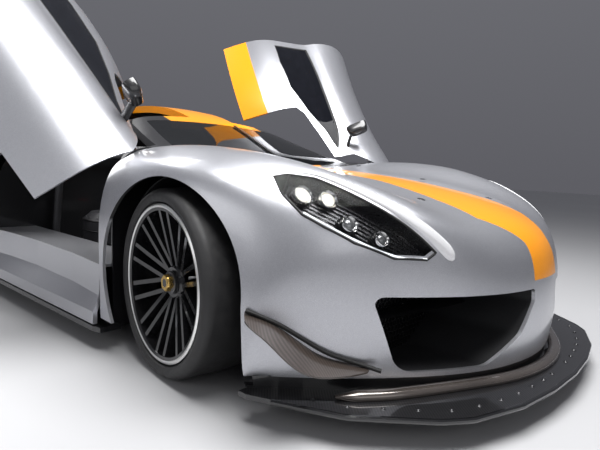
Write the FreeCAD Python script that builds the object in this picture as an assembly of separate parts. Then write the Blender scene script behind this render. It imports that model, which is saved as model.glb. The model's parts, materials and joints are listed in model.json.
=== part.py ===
# Closed-cockpit mid-engined racing coupe, nose towards +X, left side +Y, ground at Z = 0.
# The origin is on the ground at mid-length. Both doors stand open, as stored.
import FreeCAD, Part
import math
import os
from FreeCAD import Placement, Rotation, Vector

os.makedirs("parts", exist_ok=True)

# Driving dimensions, in millimetres
LENGTH = 4620.0
WHEELBASE = 2730.0
FRONT_OVERHANG = 1040.0
FRONT_AXLE = LENGTH / 2 - FRONT_OVERHANG
REAR_AXLE = FRONT_AXLE - WHEELBASE
PANEL = 12.0                 # body skin with its flanges
DOOR_THICK = 34.0            # door shell with its inner trim
DOOR_SKIN = 8.0              # the shell's rim, past the inner trim
DOOR_STEP = 28.0             # width of that rim
FRAME_THICK = 40.0           # roof spine, header and windscreen pillars
GLASS = 5.0
SHUT_GAP = 6.0               # between panels that part
SEAT_GAP = 0.3               # between pieces that are set into each other
RUNNING_GAP = 0.08           # between a shaft and its bore
FLOOR_Z = 75.0
FLOOR_THICK = 20.0
FLOOR_TOP = FLOOR_Z + FLOOR_THICK
SKIN_BOTTOM = 125.0          # lower edge of the painted skin
SILL_TOP = 330.0

# Wheels
TYRE_R_FRONT = 325.0
TYRE_W_FRONT = 265.0
TYRE_R_REAR = 355.0
TYRE_W_REAR = 310.0
WHEEL_FACE = 962.0           # outer face of every tyre from the centre plane
RIM_FLANGE = 270.0           # 20 inch rims
RIM_SEAT = 256.0
TYRE_SHOULDER = 34.0         # radius from the tread to the sidewall
RIM_THICK = 9.0
ARCH_GAP_FRONT = 37.0
ARCH_GAP_REAR = 24.0
LINER_GAP = 7.0              # from the arch's lip out to the liner
LINER = 5.0
ARCH_LEAN = 24.0             # the front arch runs on forwards by this down to the ground
ARCH_INNER = 570.0           # inner end of the wheel wells
HUB_R = 62.0
STUB_R = 30.0
KINGPIN_Y = 745.0
KINGPIN_R = 12.0
STEER_REST = -8.0            # degrees; both front wheels stand turned a little to the right
DISC_R = 190.0
DISC_THICK = 32.0

# Door hinge: a point on the axis and the axis' direction, both for the left door
HINGE = Vector(FRONT_AXLE - 441.9, 772.4, 761.6)
HINGE_DIR = Vector(0.641, 0.539, -0.547)
DOOR_OPEN = 69.0             # degrees
HINGE_ARM = Vector(-0.725, 0.67, -0.18)   # from the pin to the shut door
HINGE_PIN_R = 8.0
HINGE_EYE_R = 15.0
HINGE_LUG_R = 18.0
HINGE_NEAR = 12.0            # the arm's two faces, along the axis
HINGE_FAR = 28.0
HINGE_LUG = 12.0             # thickness of each lug beside the arm
HINGE_REACH = 125.0
HINGE_HALF = 8.0             # half the arm's width
SWING_GAP = 5.0              # round a moving piece

COWL_BACK = 400.0            # front end of the cabin skin, behind the front axle
CABIN_LENGTH = 1260.0
CABIN_FRONT = FRONT_AXLE - COWL_BACK
CABIN_REAR = CABIN_FRONT - CABIN_LENGTH
SPINE_HALF = 155.0
FRAME_HALF = 294.0           # rear frame, half-width


def save(shape, name):
    """Writes one sub-part."""
    shape.exportStep("parts/" + name + ".step")


def mirrored(shape):
    return shape.mirror(Vector(0, 0, 0), Vector(0, 1, 0))


def pair(shape):
    """A left piece and its mirror image as one sub-part."""
    return Part.makeCompound([shape, mirrored(shape)])


def joined(shapes):
    return shapes[0].fuse(shapes[1:]).removeSplitter()


def prism(points, direction):
    """A prism over a closed outline."""
    corners = [Vector(*p) for p in points]
    return Part.Face(Part.makePolygon(corners + corners[:1])).extrude(Vector(*direction))


def inset(outline, gap):
    """A closed outline of (a, b) corners with every edge moved inwards by a gap."""
    corners = [Vector(a, b, 0) for a, b in outline]
    around = list(zip(corners[-1:] + corners[:-1], corners, corners[1:] + corners[:1]))
    turn = 90 if sum(here.cross(after).z for before, here, after in around) > 0 else -90
    inward = Rotation(Vector(0, 0, 1), turn)
    moved = []
    for before, here, after in around:
        one = inward.multVec((here - before).normalize())
        two = inward.multVec((after - here).normalize())
        corner = here + (one + two) * (gap / (1 + one.dot(two)))
        moved.append((corner.x, corner.y))
    return moved


def rounded(corners, radii):
    """A closed outline through corners, each rounded to its own radius (0 leaves it sharp)."""
    around = list(zip(corners[-1:] + corners[:-1], corners, corners[1:] + corners[:1], radii))
    stops = []
    for before, here, after, radius in around:
        one, two = (before - here).normalize(), (after - here).normalize()
        half = one.getAngle(two) / 2
        start, end = here + one * (radius / math.tan(half)), here + two * (radius / math.tan(half))
        middle = here + (one + two).normalize() * (radius / math.sin(half) - radius)
        stops.append((start, middle, end, radius))
    edges = []
    for (start, middle, end, radius), (following, _, _, _) in zip(stops, stops[1:] + stops[:1]):
        if radius > 0:
            edges.append(Part.Arc(start, middle, end).toShape())
        edges.append(Part.makeLine(end, following))
    return Part.Wire(edges)


def in_plan(points, low, high):
    """An upright prism, its outline given as (x from the front axle, y)."""
    return prism([(FRONT_AXLE + x, y, low) for x, y in points], (0, 0, high - low))


def in_side(points, near, far):
    """A prism across the car, its outline given as (x from the front axle, z)."""
    return prism([(FRONT_AXLE + x, near, z) for x, z in points], (0, far - near, 0))


def looking(points, axis, reach, grow=0.0):
    """A prism along a slanting axis through points given as (x from the front axle, y, z)."""
    axis = Vector(axis).normalize()
    places = [Vector(FRONT_AXLE + x, y, z) for x, y, z in points]
    middle = sum(places[1:], places[0]) * (1.0 / len(places))
    flat = [p - axis * (p - middle).dot(axis) for p in places]
    flat = [p + (p - middle).normalize() * grow - axis * reach for p in flat]
    return Part.Face(Part.makePolygon(flat + flat[:1])).extrude(axis * 2 * reach)


def on_hinge(out, around, along, turn=0.0):
    """A point by the left hinge: towards the shut door's arm, turned by degrees, and along the axis."""
    axis = Vector(HINGE_DIR).normalize()
    away = (HINGE_ARM - axis * HINGE_ARM.dot(axis)).normalize()
    place = Rotation(axis, turn).multVec(away * out + axis.cross(away) * around)
    return HINGE + place + axis * along


def by_hinge(outline, near, far):
    """A plate square to the hinge's axis, its outline given as (out, around, turn)."""
    return prism([on_hinge(out, around, near, turn) for out, around, turn in outline],
                 on_hinge(0, 0, far) - on_hinge(0, 0, near))


def on_pin(radius, near, far):
    return tube(radius, on_hinge(0, 0, near), on_hinge(0, 0, far))


def in_front(points, back, ahead):
    """A prism along the car, its outline given as (y, z)."""
    return prism([(back, y, z) for y, z in points], (ahead - back, 0, 0))


def box(x, y, z):
    """A box from three (low, high) ranges."""
    size = [high - low for low, high in (x, y, z)]
    return Part.makeBox(*size, Vector(x[0], y[0], z[0]))


def tube(radius, a, b):
    """A round bar between two points."""
    a, b = Vector(*a), Vector(*b)
    return Part.makeCylinder(radius, (b - a).Length, a, b - a)


def turned(profile, radii=None):
    """A ring about the Y axis from a closed (radius, y) profile, its corners rounded if told to."""
    corners = [Vector(0, y, r) for r, y in profile]
    outline = rounded(corners, radii or [0] * len(corners))
    return Part.Face(outline).revolve(Vector(0, 0, 0), Vector(0, 1, 0), 360)


# Body skin. A row is one section across the car, given for its left half by named places.
# x is taken on the centre line, the sweep is in mm for each square metre of half-width,
# and the lean is the share of the skin's thickness that is laid off lengthwise.
# x from the front axle, sweep, z centre, y and z valley, y and z crest, y and z haunch,
# y and z widest, y low, lean
FRONT_ROWS = [
    (918, 640, 125, 230, 125, 480, 125, 730, 125, 820, 125, 900, 1.0),
    (932, 645, 235, 230, 238, 500, 262, 760, 252, 850, 215, 918, 1.0),
    (930, 634, 365, 235, 362, 512, 415, 800, 380, 880, 310, 932, 0.9),
    (902, 604, 500, 255, 492, 545, 556, 826, 470, 905, 370, 943, 0.6),
    (815, 534, 585, 290, 575, 590, 638, 852, 542, 930, 410, 952, 0.3),
    (650, 396, 648, 330, 636, 632, 706, 890, 606, 950, 440, 960, 0.1),
    (465, 267, 690, 370, 668, 666, 750, 924, 656, 968, 465, 968, 0.0),
    (275, 165, 720, 400, 694, 700, 783, 950, 688, 982, 487, 973, 0.0),
    (60, 63, 740, 420, 712, 728, 800, 964, 704, 990, 505, 977, 0.0),
    (-130, 0, 750, 425, 726, 742, 806, 964, 703, 990, 515, 978, 0.0),
    (-290, 0, 752, 440, 744, 756, 800, 952, 696, 986, 520, 974, 0.0),
    (-394, 0, 748, 450, 757, 772, 787, 935, 685, 980, 525, 968, 0.0),
]
# x from the front axle, z centre, y and z rail, y and z belt, y and z shoulder,
# y and z widest, y low
CABIN_ROWS = [
    (-400, 748, 610, 768, 690, 780, 800, 788, 980, 525, 972),
    (-560, 818, 586, 812, 706, 792, 802, 784, 972, 525, 958),
    (-740, 897, 548, 872, 736, 800, 806, 781, 950, 525, 936),
    (-940, 977, 498, 944, 744, 804, 806, 781, 942, 528, 927),
    (-1140, 1046, 448, 1004, 748, 808, 804, 784, 940, 532, 926),
    (-1400, 1080, 432, 1034, 744, 816, 800, 792, 949, 540, 937),
    (-1660, 1078, 425, 1030, 722, 824, 795, 802, 972, 550, 958),
]
# x from mid-length, sweep, z centre, y and z rail, y and z valley, y and z crest,
# y and z haunch, y and z widest, y and z low, lean
REAR_ROWS = [
    (-396, 0, 1078, 425, 1030, 722, 824, 795, 802, 928, 704, 972, 550, 950, 125, 0.0),
    (-700, 0, 1046, 405, 984, 680, 810, 800, 822, 955, 712, 986, 560, 965, 125, 0.0),
    (-1000, 0, 986, 372, 916, 630, 790, 790, 852, 966, 730, 994, 575, 976, 125, 0.0),
    (-1250, 0, 936, 342, 862, 590, 772, 780, 870, 972, 742, 996, 585, 980, 125, 0.0),
    (-1470, 0, 893, 318, 822, 562, 760, 772, 874, 972, 744, 996, 590, 980, 125, 0.0),
    (-1700, 0, 851, 304, 792, 545, 752, 758, 858, 964, 736, 990, 590, 974, 150, 0.0),
    (-1930, -25, 817, 300, 776, 534, 746, 738, 826, 940, 716, 972, 590, 962, 180, 0.0),
    (-2070, -90, 800, 300, 768, 526, 744, 720, 798, 905, 698, 945, 590, 948, 200, -0.4),
    (-2125, -150, 752, 300, 735, 520, 725, 706, 740, 870, 655, 918, 560, 930, 205, -0.9),
    (-2140, -170, 600, 300, 596, 514, 594, 690, 592, 835, 570, 897, 480, 915, 210, -1.0),
    (-2125, -180, 350, 300, 350, 508, 350, 680, 350, 805, 345, 870, 320, 896, 215, -1.0),
]
# Which way each place moves, in y and z, as the skin is set in
FRONT_IN = [(0, -1), (0, -1), (0.3, -0.95), (0, -1), (-0.45, -0.9), (-0.9, -0.44), (-1, 0), (-1, 0), (-1, 0)]
CABIN_IN = [(0, -1), (0, -1), (-0.5, -0.87), (-0.7, -0.7), (-0.55, -0.83), (-0.3, -0.95),
            (-0.9, -0.44), (-1, 0), (-1, 0), (-1, 0)]
REAR_IN = [(0, -1), (0, -1), (-0.5, -0.87), (-0.5, -0.87), (0, -1), (0, -1),
           (-0.45, -0.9), (-0.9, -0.44), (-1, 0), (-1, 0), (-1, 0)]


def between(a, b, share, lift=0.0):
    return (a[0] + (b[0] - a[0]) * share, a[1] + (b[1] - a[1]) * share + lift)


def front_section(row):
    """x on the centre line, sweep, lean and the nine (y, z) places of a front section."""
    x, sweep, zc, yv, zv, yf, zf, yh, zh, yw, zw, yb, lean = row
    valley, crest, haunch, widest, low = (yv, zv), (yf, zf), (yh, zh), (yw, zw), (yb, SKIN_BOTTOM)
    slope = between(valley, crest, 0.55)
    shoulder = between(crest, haunch, 0.62, 0.16 * (zf - zh))
    skirt = between(widest, low, 0.5)
    return FRONT_AXLE + x, sweep, lean, [(0, zc), valley, slope, crest, shoulder, haunch, widest, skirt, low]


def cabin_section(row):
    """The same for the ten places of a section through windscreen, roof and doors."""
    x, zc, yr, zr, ybelt, zbelt, ys, zs, yw, zw, yb = row
    rail, belt, shoulder, widest = (yr, zr), (ybelt, zbelt), (ys, zs), (yw, zw)
    low = (yb, SILL_TOP + SHUT_GAP)
    roof = between((0, zc), rail, 0.55, 0.28 * (zc - zr))
    window = between(rail, belt, 0.5, 0.03 * (zr - zbelt))
    haunch = between(shoulder, widest, 0.75, 0.36 * (zs - zw))
    skirt = between(widest, low, 0.5)
    return FRONT_AXLE + x, 0.0, 0.0, [(0, zc), roof, rail, window, belt, shoulder, haunch, widest, skirt, low]


def rear_section(row):
    """The same for the eleven places of a rear section."""
    x, sweep, zc, yr, zr, yv, zv, yf, zf, yh, zh, yw, zw, yb, zb, lean = row
    rail, valley, crest, haunch, widest, low = (yr, zr), (yv, zv), (yf, zf), (yh, zh), (yw, zw), (yb, zb)
    roof = between((0, zc), rail, 0.55, 0.28 * (zc - zr))
    slope = between(rail, valley, 0.5, 0.03 * (zr - zv))
    shoulder = between(crest, haunch, 0.6, 0.14 * (zf - zh))
    skirt = between(widest, low, 0.5)
    places = [(0, zc), roof, rail, slope, valley, crest, shoulder, haunch, widest, skirt, low]
    return x, sweep, lean, places


def eased(line):
    """Control points whose cubic runs close by the given points."""
    inner = [b + (b * 2 - a - c) / 6 for a, b, c in zip(line, line[1:], line[2:])]
    return [line[0]] + inner + [line[-1]]


def skin_grid(sections, inward, depth):
    """Control points of the skin set in by a depth, each row from the right edge to the left."""
    grid = []
    for x, sweep, lean, places in sections:
        half = []
        for (y, z), (iy, iz) in zip(places, inward):
            across = depth * (1 - abs(lean))
            along = x - sweep * (y / 1000.0) ** 2 - depth * lean
            half.append(Vector(along, y + across * iy, z + across * iz))
        grid.append(eased([Vector(p.x, -p.y, p.z) for p in reversed(half[1:])] + half))
    columns = [eased(list(column)) for column in zip(*grid)]
    return [list(row) for row in zip(*columns)]


def clamped(count):
    """Multiplicities and knots of an open cubic."""
    return [4] + [1] * (count - 4) + [4], list(range(count - 2))


def skin_face(sections, inward, depth):
    grid = skin_grid(sections, inward, depth)
    u_mults, u_knots = clamped(len(grid))
    v_mults, v_knots = clamped(len(grid[0]))
    surface = Part.BSplineSurface()
    surface.buildFromPolesMultsKnots(grid, u_mults, v_mults, u_knots, v_knots, False, False, 3, 3)
    return surface.toShape()


def panel(sections, inward, outer, inner):
    """The shell between the skin set in by two depths."""
    top = skin_face(sections, inward, outer)
    under = skin_face(sections, inward, inner)
    sides = [Part.makeRuledSurface(a, b) for a, b in zip(top.Edges, under.Edges)]
    shell = Part.makeShell([top, under] + sides)
    shell.sewShape()
    solid = Part.Solid(shell)
    if solid.Volume < 0:
        solid.reverse()
    return solid


def end_plate(sections, inward, depth, index, low, ahead):
    """A flat plate across the car under the skin's first or last section, down to a height."""
    row = skin_grid(sections, inward, depth)[index]
    mults, knots = clamped(len(row))
    curve = Part.BSplineCurve()
    curve.buildFromPolesMultsKnots(row, mults, knots, False, 3)
    x = row[0].x
    corners = [row[-1], Vector(x, row[-1].y, low), Vector(x, row[0].y, low), row[0]]
    face = Part.Face(Part.Wire([curve.toShape()] + Part.makePolygon(corners).Edges))
    return face.extrude(Vector(ahead, 0, 0))


FRONT = [front_section(r) for r in FRONT_ROWS]
CABIN = [cabin_section(r) for r in CABIN_ROWS]
REAR = [rear_section(r) for r in REAR_ROWS]

# Outlines on the body, as (x from the front axle, y or z) for the left side
LAMP = [(329, 792, 707), (353, 752, 717), (414, 705, 710), (533, 657, 666), (656, 597, 601), (705, 562, 561),
        (744, 525, 516), (730, 550, 496), (668, 631, 498), (585, 716, 537), (513, 766, 575), (453, 799, 607),
        (384, 813, 659)]
LAMP_AXIS = Vector(0.45, 0.45, 0.77)
INTAKE = [(676, 374), (596, 142), (322, 142), (182, 226), (116, 330), (116, 374)]
INTAKE_CORNERS = [22, 66, 80, 60, 30, 14]
GLASS_HALF = [(-416, 590), (-560, 556), (-740, 514), (-904, 472)]
DOOR_EDGE = [(-410, 1200), (-412, 905), (-460, 848), (-545, 760), (-566, 642), (-742, 602), (-920, 556),
             (-972, 520), (-990, SPINE_HALF + SHUT_GAP)]
FRAME_EDGE = [(-390, 902), (-448, 845), (-536, 755), (-560, 634), (-740, 592), (-914, 548),
              (-964, 512), (-982, SPINE_HALF)]
WINDOW = [(-614, 803), (-760, 806), (-1150, 820), (-1600, 830), (-1600, 980), (-1400, 984), (-1150, 962),
          (-940, 904), (-770, 842)]
ENGINE_HATCH = [(-1760, 285), (-2440, 262)]
TAIL_LAMP = [(430, 690), (850, 668), (862, 640), (430, 655)]
REAR_OUTLET = [(480, 600), (790, 580), (770, 400), (460, 400)]


def closed_half(points):
    """A left outline closed over its mirror image."""
    return points + [(x, -y) for x, y in reversed(points)]


def wheel_well(axle, tyre_r, gap, lean, inner_y):
    """The room round a wheel: a drum, and straight down from its front as far as the lean says."""
    drum = Part.makeCylinder(tyre_r + gap, 1300 - inner_y, Vector(axle, inner_y, tyre_r), Vector(0, 1, 0))
    front = tyre_r + gap
    drop = prism([(axle, inner_y, tyre_r), (axle + front, inner_y, tyre_r), (axle + front + lean, inner_y, FLOOR_TOP),
                  (axle, inner_y, FLOOR_TOP)], (0, 1300 - inner_y, 0))
    return drum.fuse(drop)


# axle, tyre radius, gap round the tyre, lean of the arch's front edge
WELLS = [(FRONT_AXLE, TYRE_R_FRONT, ARCH_GAP_FRONT, ARCH_LEAN), (REAR_AXLE, TYRE_R_REAR, ARCH_GAP_REAR, 0)]
well_front, well_rear = [wheel_well(*well, ARCH_INNER) for well in WELLS]

# Front clam: nose, bonnet and both wings, with wheel arches, intakes and lamp openings
lamp_hole = looking(LAMP, LAMP_AXIS, 150)
intake_line = [Vector(FRONT_AXLE + 440, y, z) for y, z in INTAKE]
intake_hole = Part.Face(rounded(intake_line, INTAKE_CORNERS)).extrude(Vector(600, 0, 0))
front_cuts = [well_front, lamp_hole, intake_hole]
front_clam = panel(FRONT, FRONT_IN, 0, PANEL).cut(front_cuts + [mirrored(c) for c in front_cuts])
save(front_clam, "front_clam")

# Lamp covers, the trays under them and four projectors a side
lens = panel(FRONT, FRONT_IN, 0.5, 0.5 + GLASS).common(looking(LAMP, LAMP_AXIS, 150, -2 * SEAT_GAP))
save(pair(lens), "headlamp_lenses")
tray = panel(FRONT, FRONT_IN, PANEL + SEAT_GAP, 84).common(looking(LAMP, LAMP_AXIS, 200, 14))
tray = tray.cut(panel(FRONT, FRONT_IN, 0, 80).common(looking(LAMP, LAMP_AXIS, 200, 2)))
# x from the front axle, y, z of the face, radius
PROJECTORS = [(398, 740, 652, 31), (456, 688, 642, 31), (542, 690, 575, 27), (621, 636, 538, 24)]
lamp_room = looking(LAMP, LAMP_AXIS, 200)
projectors = []
for x, y, z, radius in PROJECTORS:
    barrel = Part.makeCylinder(radius, 160, Vector(FRONT_AXLE + x, y, z), Vector(-0.8, -0.2, -0.56))
    barrel = barrel.common(lamp_room).cut(panel(FRONT, FRONT_IN, 80 - SEAT_GAP, 300))
    projectors.append(max(barrel.Solids, key=lambda s: s.Volume))
save(pair(Part.makeCompound([tray] + projectors)), "headlamp_units")

# Ducts behind the two intakes, with a radiator at the back of each
DUCT_WALL = 6.0
duct_back = FRONT_AXLE + 450
duct_line = [Vector(duct_back, y, z) for y, z in inset(INTAKE, -DUCT_WALL)]
duct = Part.Face(rounded(duct_line, [r + DUCT_WALL for r in INTAKE_CORNERS])).extrude(Vector(600, 0, 0))
duct = duct.cut([intake_hole, panel(FRONT, FRONT_IN, -150, PANEL + SEAT_GAP)])
duct = min(duct.Solids, key=lambda s: s.BoundBox.XMin)
save(pair(duct), "front_ducts")
radiator = box((duct_back - 40, duct_back - SEAT_GAP), (110, 680), (132, 384))
save(pair(radiator), "radiators")

# Floor, nose box, bulkheads and sill boxes of the tub
floor_plan = [(900, 300), (700, 540), (500, 572), (-380, 572), (-400, 900), (-2080, 900), (-2330, 880), (-2340, 572),
              (-3150, 572)]
floor = in_plan(closed_half(floor_plan), FLOOR_Z, FLOOR_TOP)
bulkhead_front = joined([
    end_plate(FRONT, FRONT_IN, DOOR_THICK + 20, -1, FLOOR_TOP, -SHUT_GAP),
    end_plate(FRONT, FRONT_IN, 6.0, -1, 600, -SHUT_GAP).common(
        box((CABIN_FRONT - 5, CABIN_FRONT + 10), (-600, 600), (600, 900)))])
bulkhead_rear = end_plate(REAR, REAR_IN, 3.0, 0, FLOOR_TOP, SHUT_GAP)
spine_top = box((CABIN_REAR - 10, CABIN_REAR + 10), (-SPINE_HALF + 3, SPINE_HALF - 3), (900, 1200))
set_in = end_plate(REAR, REAR_IN, DOOR_THICK + 16, 0, FLOOR_TOP, SHUT_GAP)
bulkhead_rear = joined([set_in, bulkhead_rear.common(spine_top)])
sill_box = box((CABIN_REAR, CABIN_FRONT), (720, 900), (FLOOR_TOP, SILL_TOP - 12))
nose_box = box((CABIN_FRONT + SHUT_GAP, FRONT_AXLE + 330), (-300, 300), (FLOOR_TOP, 470))
tunnel = box((CABIN_REAR, CABIN_FRONT), (-110, 110), (FLOOR_TOP, 330))
tub = joined([floor, bulkhead_front, bulkhead_rear, sill_box, mirrored(sill_box), nose_box, tunnel])
save(tub, "tub")

# Roof frame: cowl corners, windscreen pillars, header and spine in one
beyond = -COWL_BACK - CABIN_LENGTH - 10
frame_zone = in_plan(closed_half(FRAME_EDGE + [(beyond, SPINE_HALF)]), 600, 1300)
glass_hole = in_plan(closed_half(GLASS_HALF), 500, 1300)
slot_half = HINGE_HALF + SWING_GAP
slot_reach = HINGE_REACH + 35
slot = by_hinge([(-slot_half, 0, DOOR_OPEN / 2), (0, -slot_half, 0), (slot_reach, -slot_half, 0),
                 (slot_reach * 1.2, 0, DOOR_OPEN / 2), (slot_reach, slot_half, DOOR_OPEN), (0, slot_half, DOOR_OPEN)],
                HINGE_NEAR - SWING_GAP, HINGE_FAR + SWING_GAP)
slot = slot.fuse(on_pin(HINGE_EYE_R + SWING_GAP, HINGE_NEAR - SWING_GAP, HINGE_FAR + SWING_GAP))
roof_frame = panel(CABIN, CABIN_IN, 0, FRAME_THICK).common(frame_zone).cut([glass_hole, slot, mirrored(slot)])
pin_from, pin_to = HINGE_NEAR - HINGE_LUG, HINGE_FAR + HINGE_LUG
lugs = [on_pin(HINGE_PIN_R, pin_from, pin_to), on_pin(HINGE_LUG_R, pin_from, HINGE_NEAR - SEAT_GAP),
        on_pin(HINGE_LUG_R, HINGE_FAR + SEAT_GAP, pin_to)]
above = panel(CABIN, CABIN_IN, -60, 3)
lug = lugs[0].fuse(lugs[1:]).cut(above)
roof_frame = roof_frame.fuse([lug, mirrored(lug)])
save(roof_frame, "roof_frame")
glass_plan = inset(closed_half(GLASS_HALF), SEAT_GAP)
windscreen = panel(CABIN, CABIN_IN, 1, 1 + GLASS).common(in_plan(glass_plan, 500, 1300))
save(windscreen, "windscreen")

# Rear clam: haunches, engine deck and tail
hatch_hole = in_plan(closed_half(ENGINE_HATCH), 700, 1200)
tail_lamp_hole = in_front(TAIL_LAMP, -2300, -1980)
outlet_hole = in_front(REAR_OUTLET, -2300, -1980)
pylon_slot = box((-1990, -1855), (289, 311), (700, 1000))
rear_cuts = [well_rear, tail_lamp_hole, outlet_hole, pylon_slot]
rear_clam = panel(REAR, REAR_IN, 0, PANEL).cut([hatch_hole] + rear_cuts + [mirrored(c) for c in rear_cuts])
save(rear_clam, "rear_clam")


# Engine hatch with slots, and the outlet meshes and lamps of the tail
hatch_plan = inset(closed_half(ENGINE_HATCH), SEAT_GAP)
hatch = panel(REAR, REAR_IN, 2, 2 + PANEL).common(in_plan(hatch_plan, 700, 1200))
for i in range(7):
    start = -1850 - 80 * i
    hatch = hatch.cut(in_plan([(start, -215), (start, 215), (start - 34, 215), (start - 34, -215)], 600, 1200))
save(hatch, "engine_hatch")
tail_lamp = panel(REAR, REAR_IN, 3, 3 + GLASS).common(in_front(inset(TAIL_LAMP, SEAT_GAP), -2300, -1980))
save(pair(tail_lamp), "tail_lamps")
mesh = panel(REAR, REAR_IN, 4, 4 + GLASS).common(in_front(inset(REAR_OUTLET, SEAT_GAP), -2300, -1980))
save(pair(mesh), "outlet_meshes")

# Doors: shell with inner trim, side window and outer mirror, modelled shut and swung open
door_plan = DOOR_EDGE + [(beyond, SPINE_HALF + SHUT_GAP), (beyond, 1200)]
inner_plan = [(-442, 1200), (-444, 920), (-484, 868), (-574, 774), (-594, 668), (-750, 632), (-930, 586),
              (-996, 544), (-1018, SPINE_HALF + SHUT_GAP + DOOR_STEP)]
inner_plan += [(-COWL_BACK - CABIN_LENGTH + DOOR_STEP, SPINE_HALF + SHUT_GAP + DOOR_STEP),
               (-COWL_BACK - CABIN_LENGTH + DOOR_STEP, 1200)]
step = in_plan(door_plan, 200, 1300).cut(in_plan(inner_plan, 100, 1400))
window_hole = in_side(WINDOW, 300, 1100)
door_shut = panel(CABIN, CABIN_IN, 0, DOOR_THICK).common(in_plan(door_plan, 200, 1300))
door_shut = door_shut.cut([panel(CABIN, CABIN_IN, DOOR_SKIN, DOOR_THICK + 20).common(step), window_hole])
arm = by_hinge([(0, -HINGE_HALF, 0), (HINGE_REACH, -HINGE_HALF, 0), (HINGE_REACH, HINGE_HALF, 0), (0, HINGE_HALF, 0)],
               HINGE_NEAR, HINGE_FAR)
arm = arm.fuse(on_pin(HINGE_EYE_R, HINGE_NEAR, HINGE_FAR)).cut(on_pin(HINGE_PIN_R + RUNNING_GAP, 0, 2 * HINGE_FAR))
door_shut = door_shut.fuse(arm)
pane_shut = panel(CABIN, CABIN_IN, 3, 3 + GLASS).common(in_side(inset(WINDOW, SEAT_GAP), 300, 1100))
mirror_foot = prism([(FRONT_AXLE - 612, 724, 770), (FRONT_AXLE - 660, 724, 770), (FRONT_AXLE - 676, 790, 868),
                     (FRONT_AXLE - 654, 790, 868)], (0, 14, 0))
# x from the front axle, half-width and half-height of the mirror's body
MIRROR = [(-624, 36, 10), (-636, 54, 24), (-660, 64, 31), (-694, 67, 33)]
mirror_rings = []
for x, half_y, half_z in MIRROR:
    corners = [(1, 0.5), (0.8, 1), (-0.8, 1), (-1, 0.5), (-1, -0.5), (-0.8, -1), (0.8, -1), (1, -0.5)]
    ring = [Vector(FRONT_AXLE + x, 838 + half_y * y, 872 + half_z * z) for y, z in corners]
    mirror_rings.append(Part.makePolygon(ring + ring[:1]))
mirror_head = Part.makeLoft(mirror_rings, True, True)
mirror_shut = joined([mirror_foot, mirror_head]).cut(panel(CABIN, CABIN_IN, -SEAT_GAP, 120))
opened = Placement(Vector(), Rotation(HINGE_DIR, DOOR_OPEN), HINGE)
door = door_shut.transformGeometry(opened.toMatrix())
pane = pane_shut.transformGeometry(opened.toMatrix())
mirror = mirror_shut.transformGeometry(opened.toMatrix())
for side, shapes in (("left", (door, pane, mirror)), ("right", [mirrored(s) for s in (door, pane, mirror)])):
    for shape, name in zip(shapes, ("door", "door_window", "mirror")):
        save(shape, name + "_" + side)

# Sills: stepped painted covers over the tub's boxes. x from the front axle, y of the upper edge
SILLS = [(-406, 966), (-700, 936), (-1100, 922), (-1400, 931), (-1654, 952)]
rings = []
for x, y in SILLS:
    profile = [(y - 40, SILL_TOP - 12), (y - 40, SILL_TOP), (y, SILL_TOP), (y + 3, 210), (992, 150), (992, 100),
               (975, 100), (975, 145), (y - 12, 200), (y - 14, SILL_TOP - 12)]
    corners = [Vector(FRONT_AXLE + x, a, b) for a, b in profile]
    rings.append(Part.makePolygon(corners + corners[:1]))
sill = Part.makeLoft(rings, True, True)
sill_top = box((CABIN_REAR + SHUT_GAP, CABIN_FRONT - SHUT_GAP), (720, 900), (SILL_TOP - 12, SILL_TOP))
bridge = in_plan([(SILLS[0][0], 900)] + SILLS + [(SILLS[-1][0], 900)], SILL_TOP - 12, SILL_TOP)
sill = joined([sill, sill_top, bridge])
save(pair(sill), "side_sills")

# Splitter with the upstand that carries the nose, and the skirts along the sills
SPLITTER = [(FRONT_OVERHANG, 0), (1030, 200), (1000, 400), (934, 592), (880, 668), (800, 740), (690, 836), (560, 893),
            (420, 950), (386, 950), (386, 400), (386, 0)]
splitter_plan = SPLITTER + [(x, -y) for x, y in reversed(SPLITTER[1:-1])]
blade = in_plan(splitter_plan, FLOOR_Z, FLOOR_TOP - 5)
blade = blade.cut(floor)
nose_line = [(916 - 640 * (y / 1000.0) ** 2, y) for y in range(0, 900, 50)] + [(400, 905), (386, 918)]
inner_line = [(x - 26, max(y - 14, 0)) for x, y in nose_line]
inner_line[0] = (890, 0)
outer_line = [(x - 4, y) for x, y in nose_line]
upstand = in_plan(outer_line + list(reversed(inner_line[1:])) + [(890, 0)], FLOOR_TOP - 5, SKIN_BOTTOM)
lined = wheel_well(FRONT_AXLE, TYRE_R_FRONT, ARCH_GAP_FRONT + LINER_GAP + LINER + SEAT_GAP, ARCH_LEAN, ARCH_INNER)
upstand = upstand.cut([floor, lined])
save(joined([blade, upstand, mirrored(upstand)]), "splitter")
skirt = in_plan([(-362, 900.0), (-362, 985), (-406, 995), (-1800, 995), (-2340, 985), (-2340, 900)], FLOOR_Z, FLOOR_TOP)
carrier = in_plan([(-1664, 935), (-1664, 948), (-2330, 966), (-2330, 950)], FLOOR_TOP, SKIN_BOTTOM)
skirt = joined([skirt, carrier])
save(pair(skirt), "side_skirts")

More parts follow.
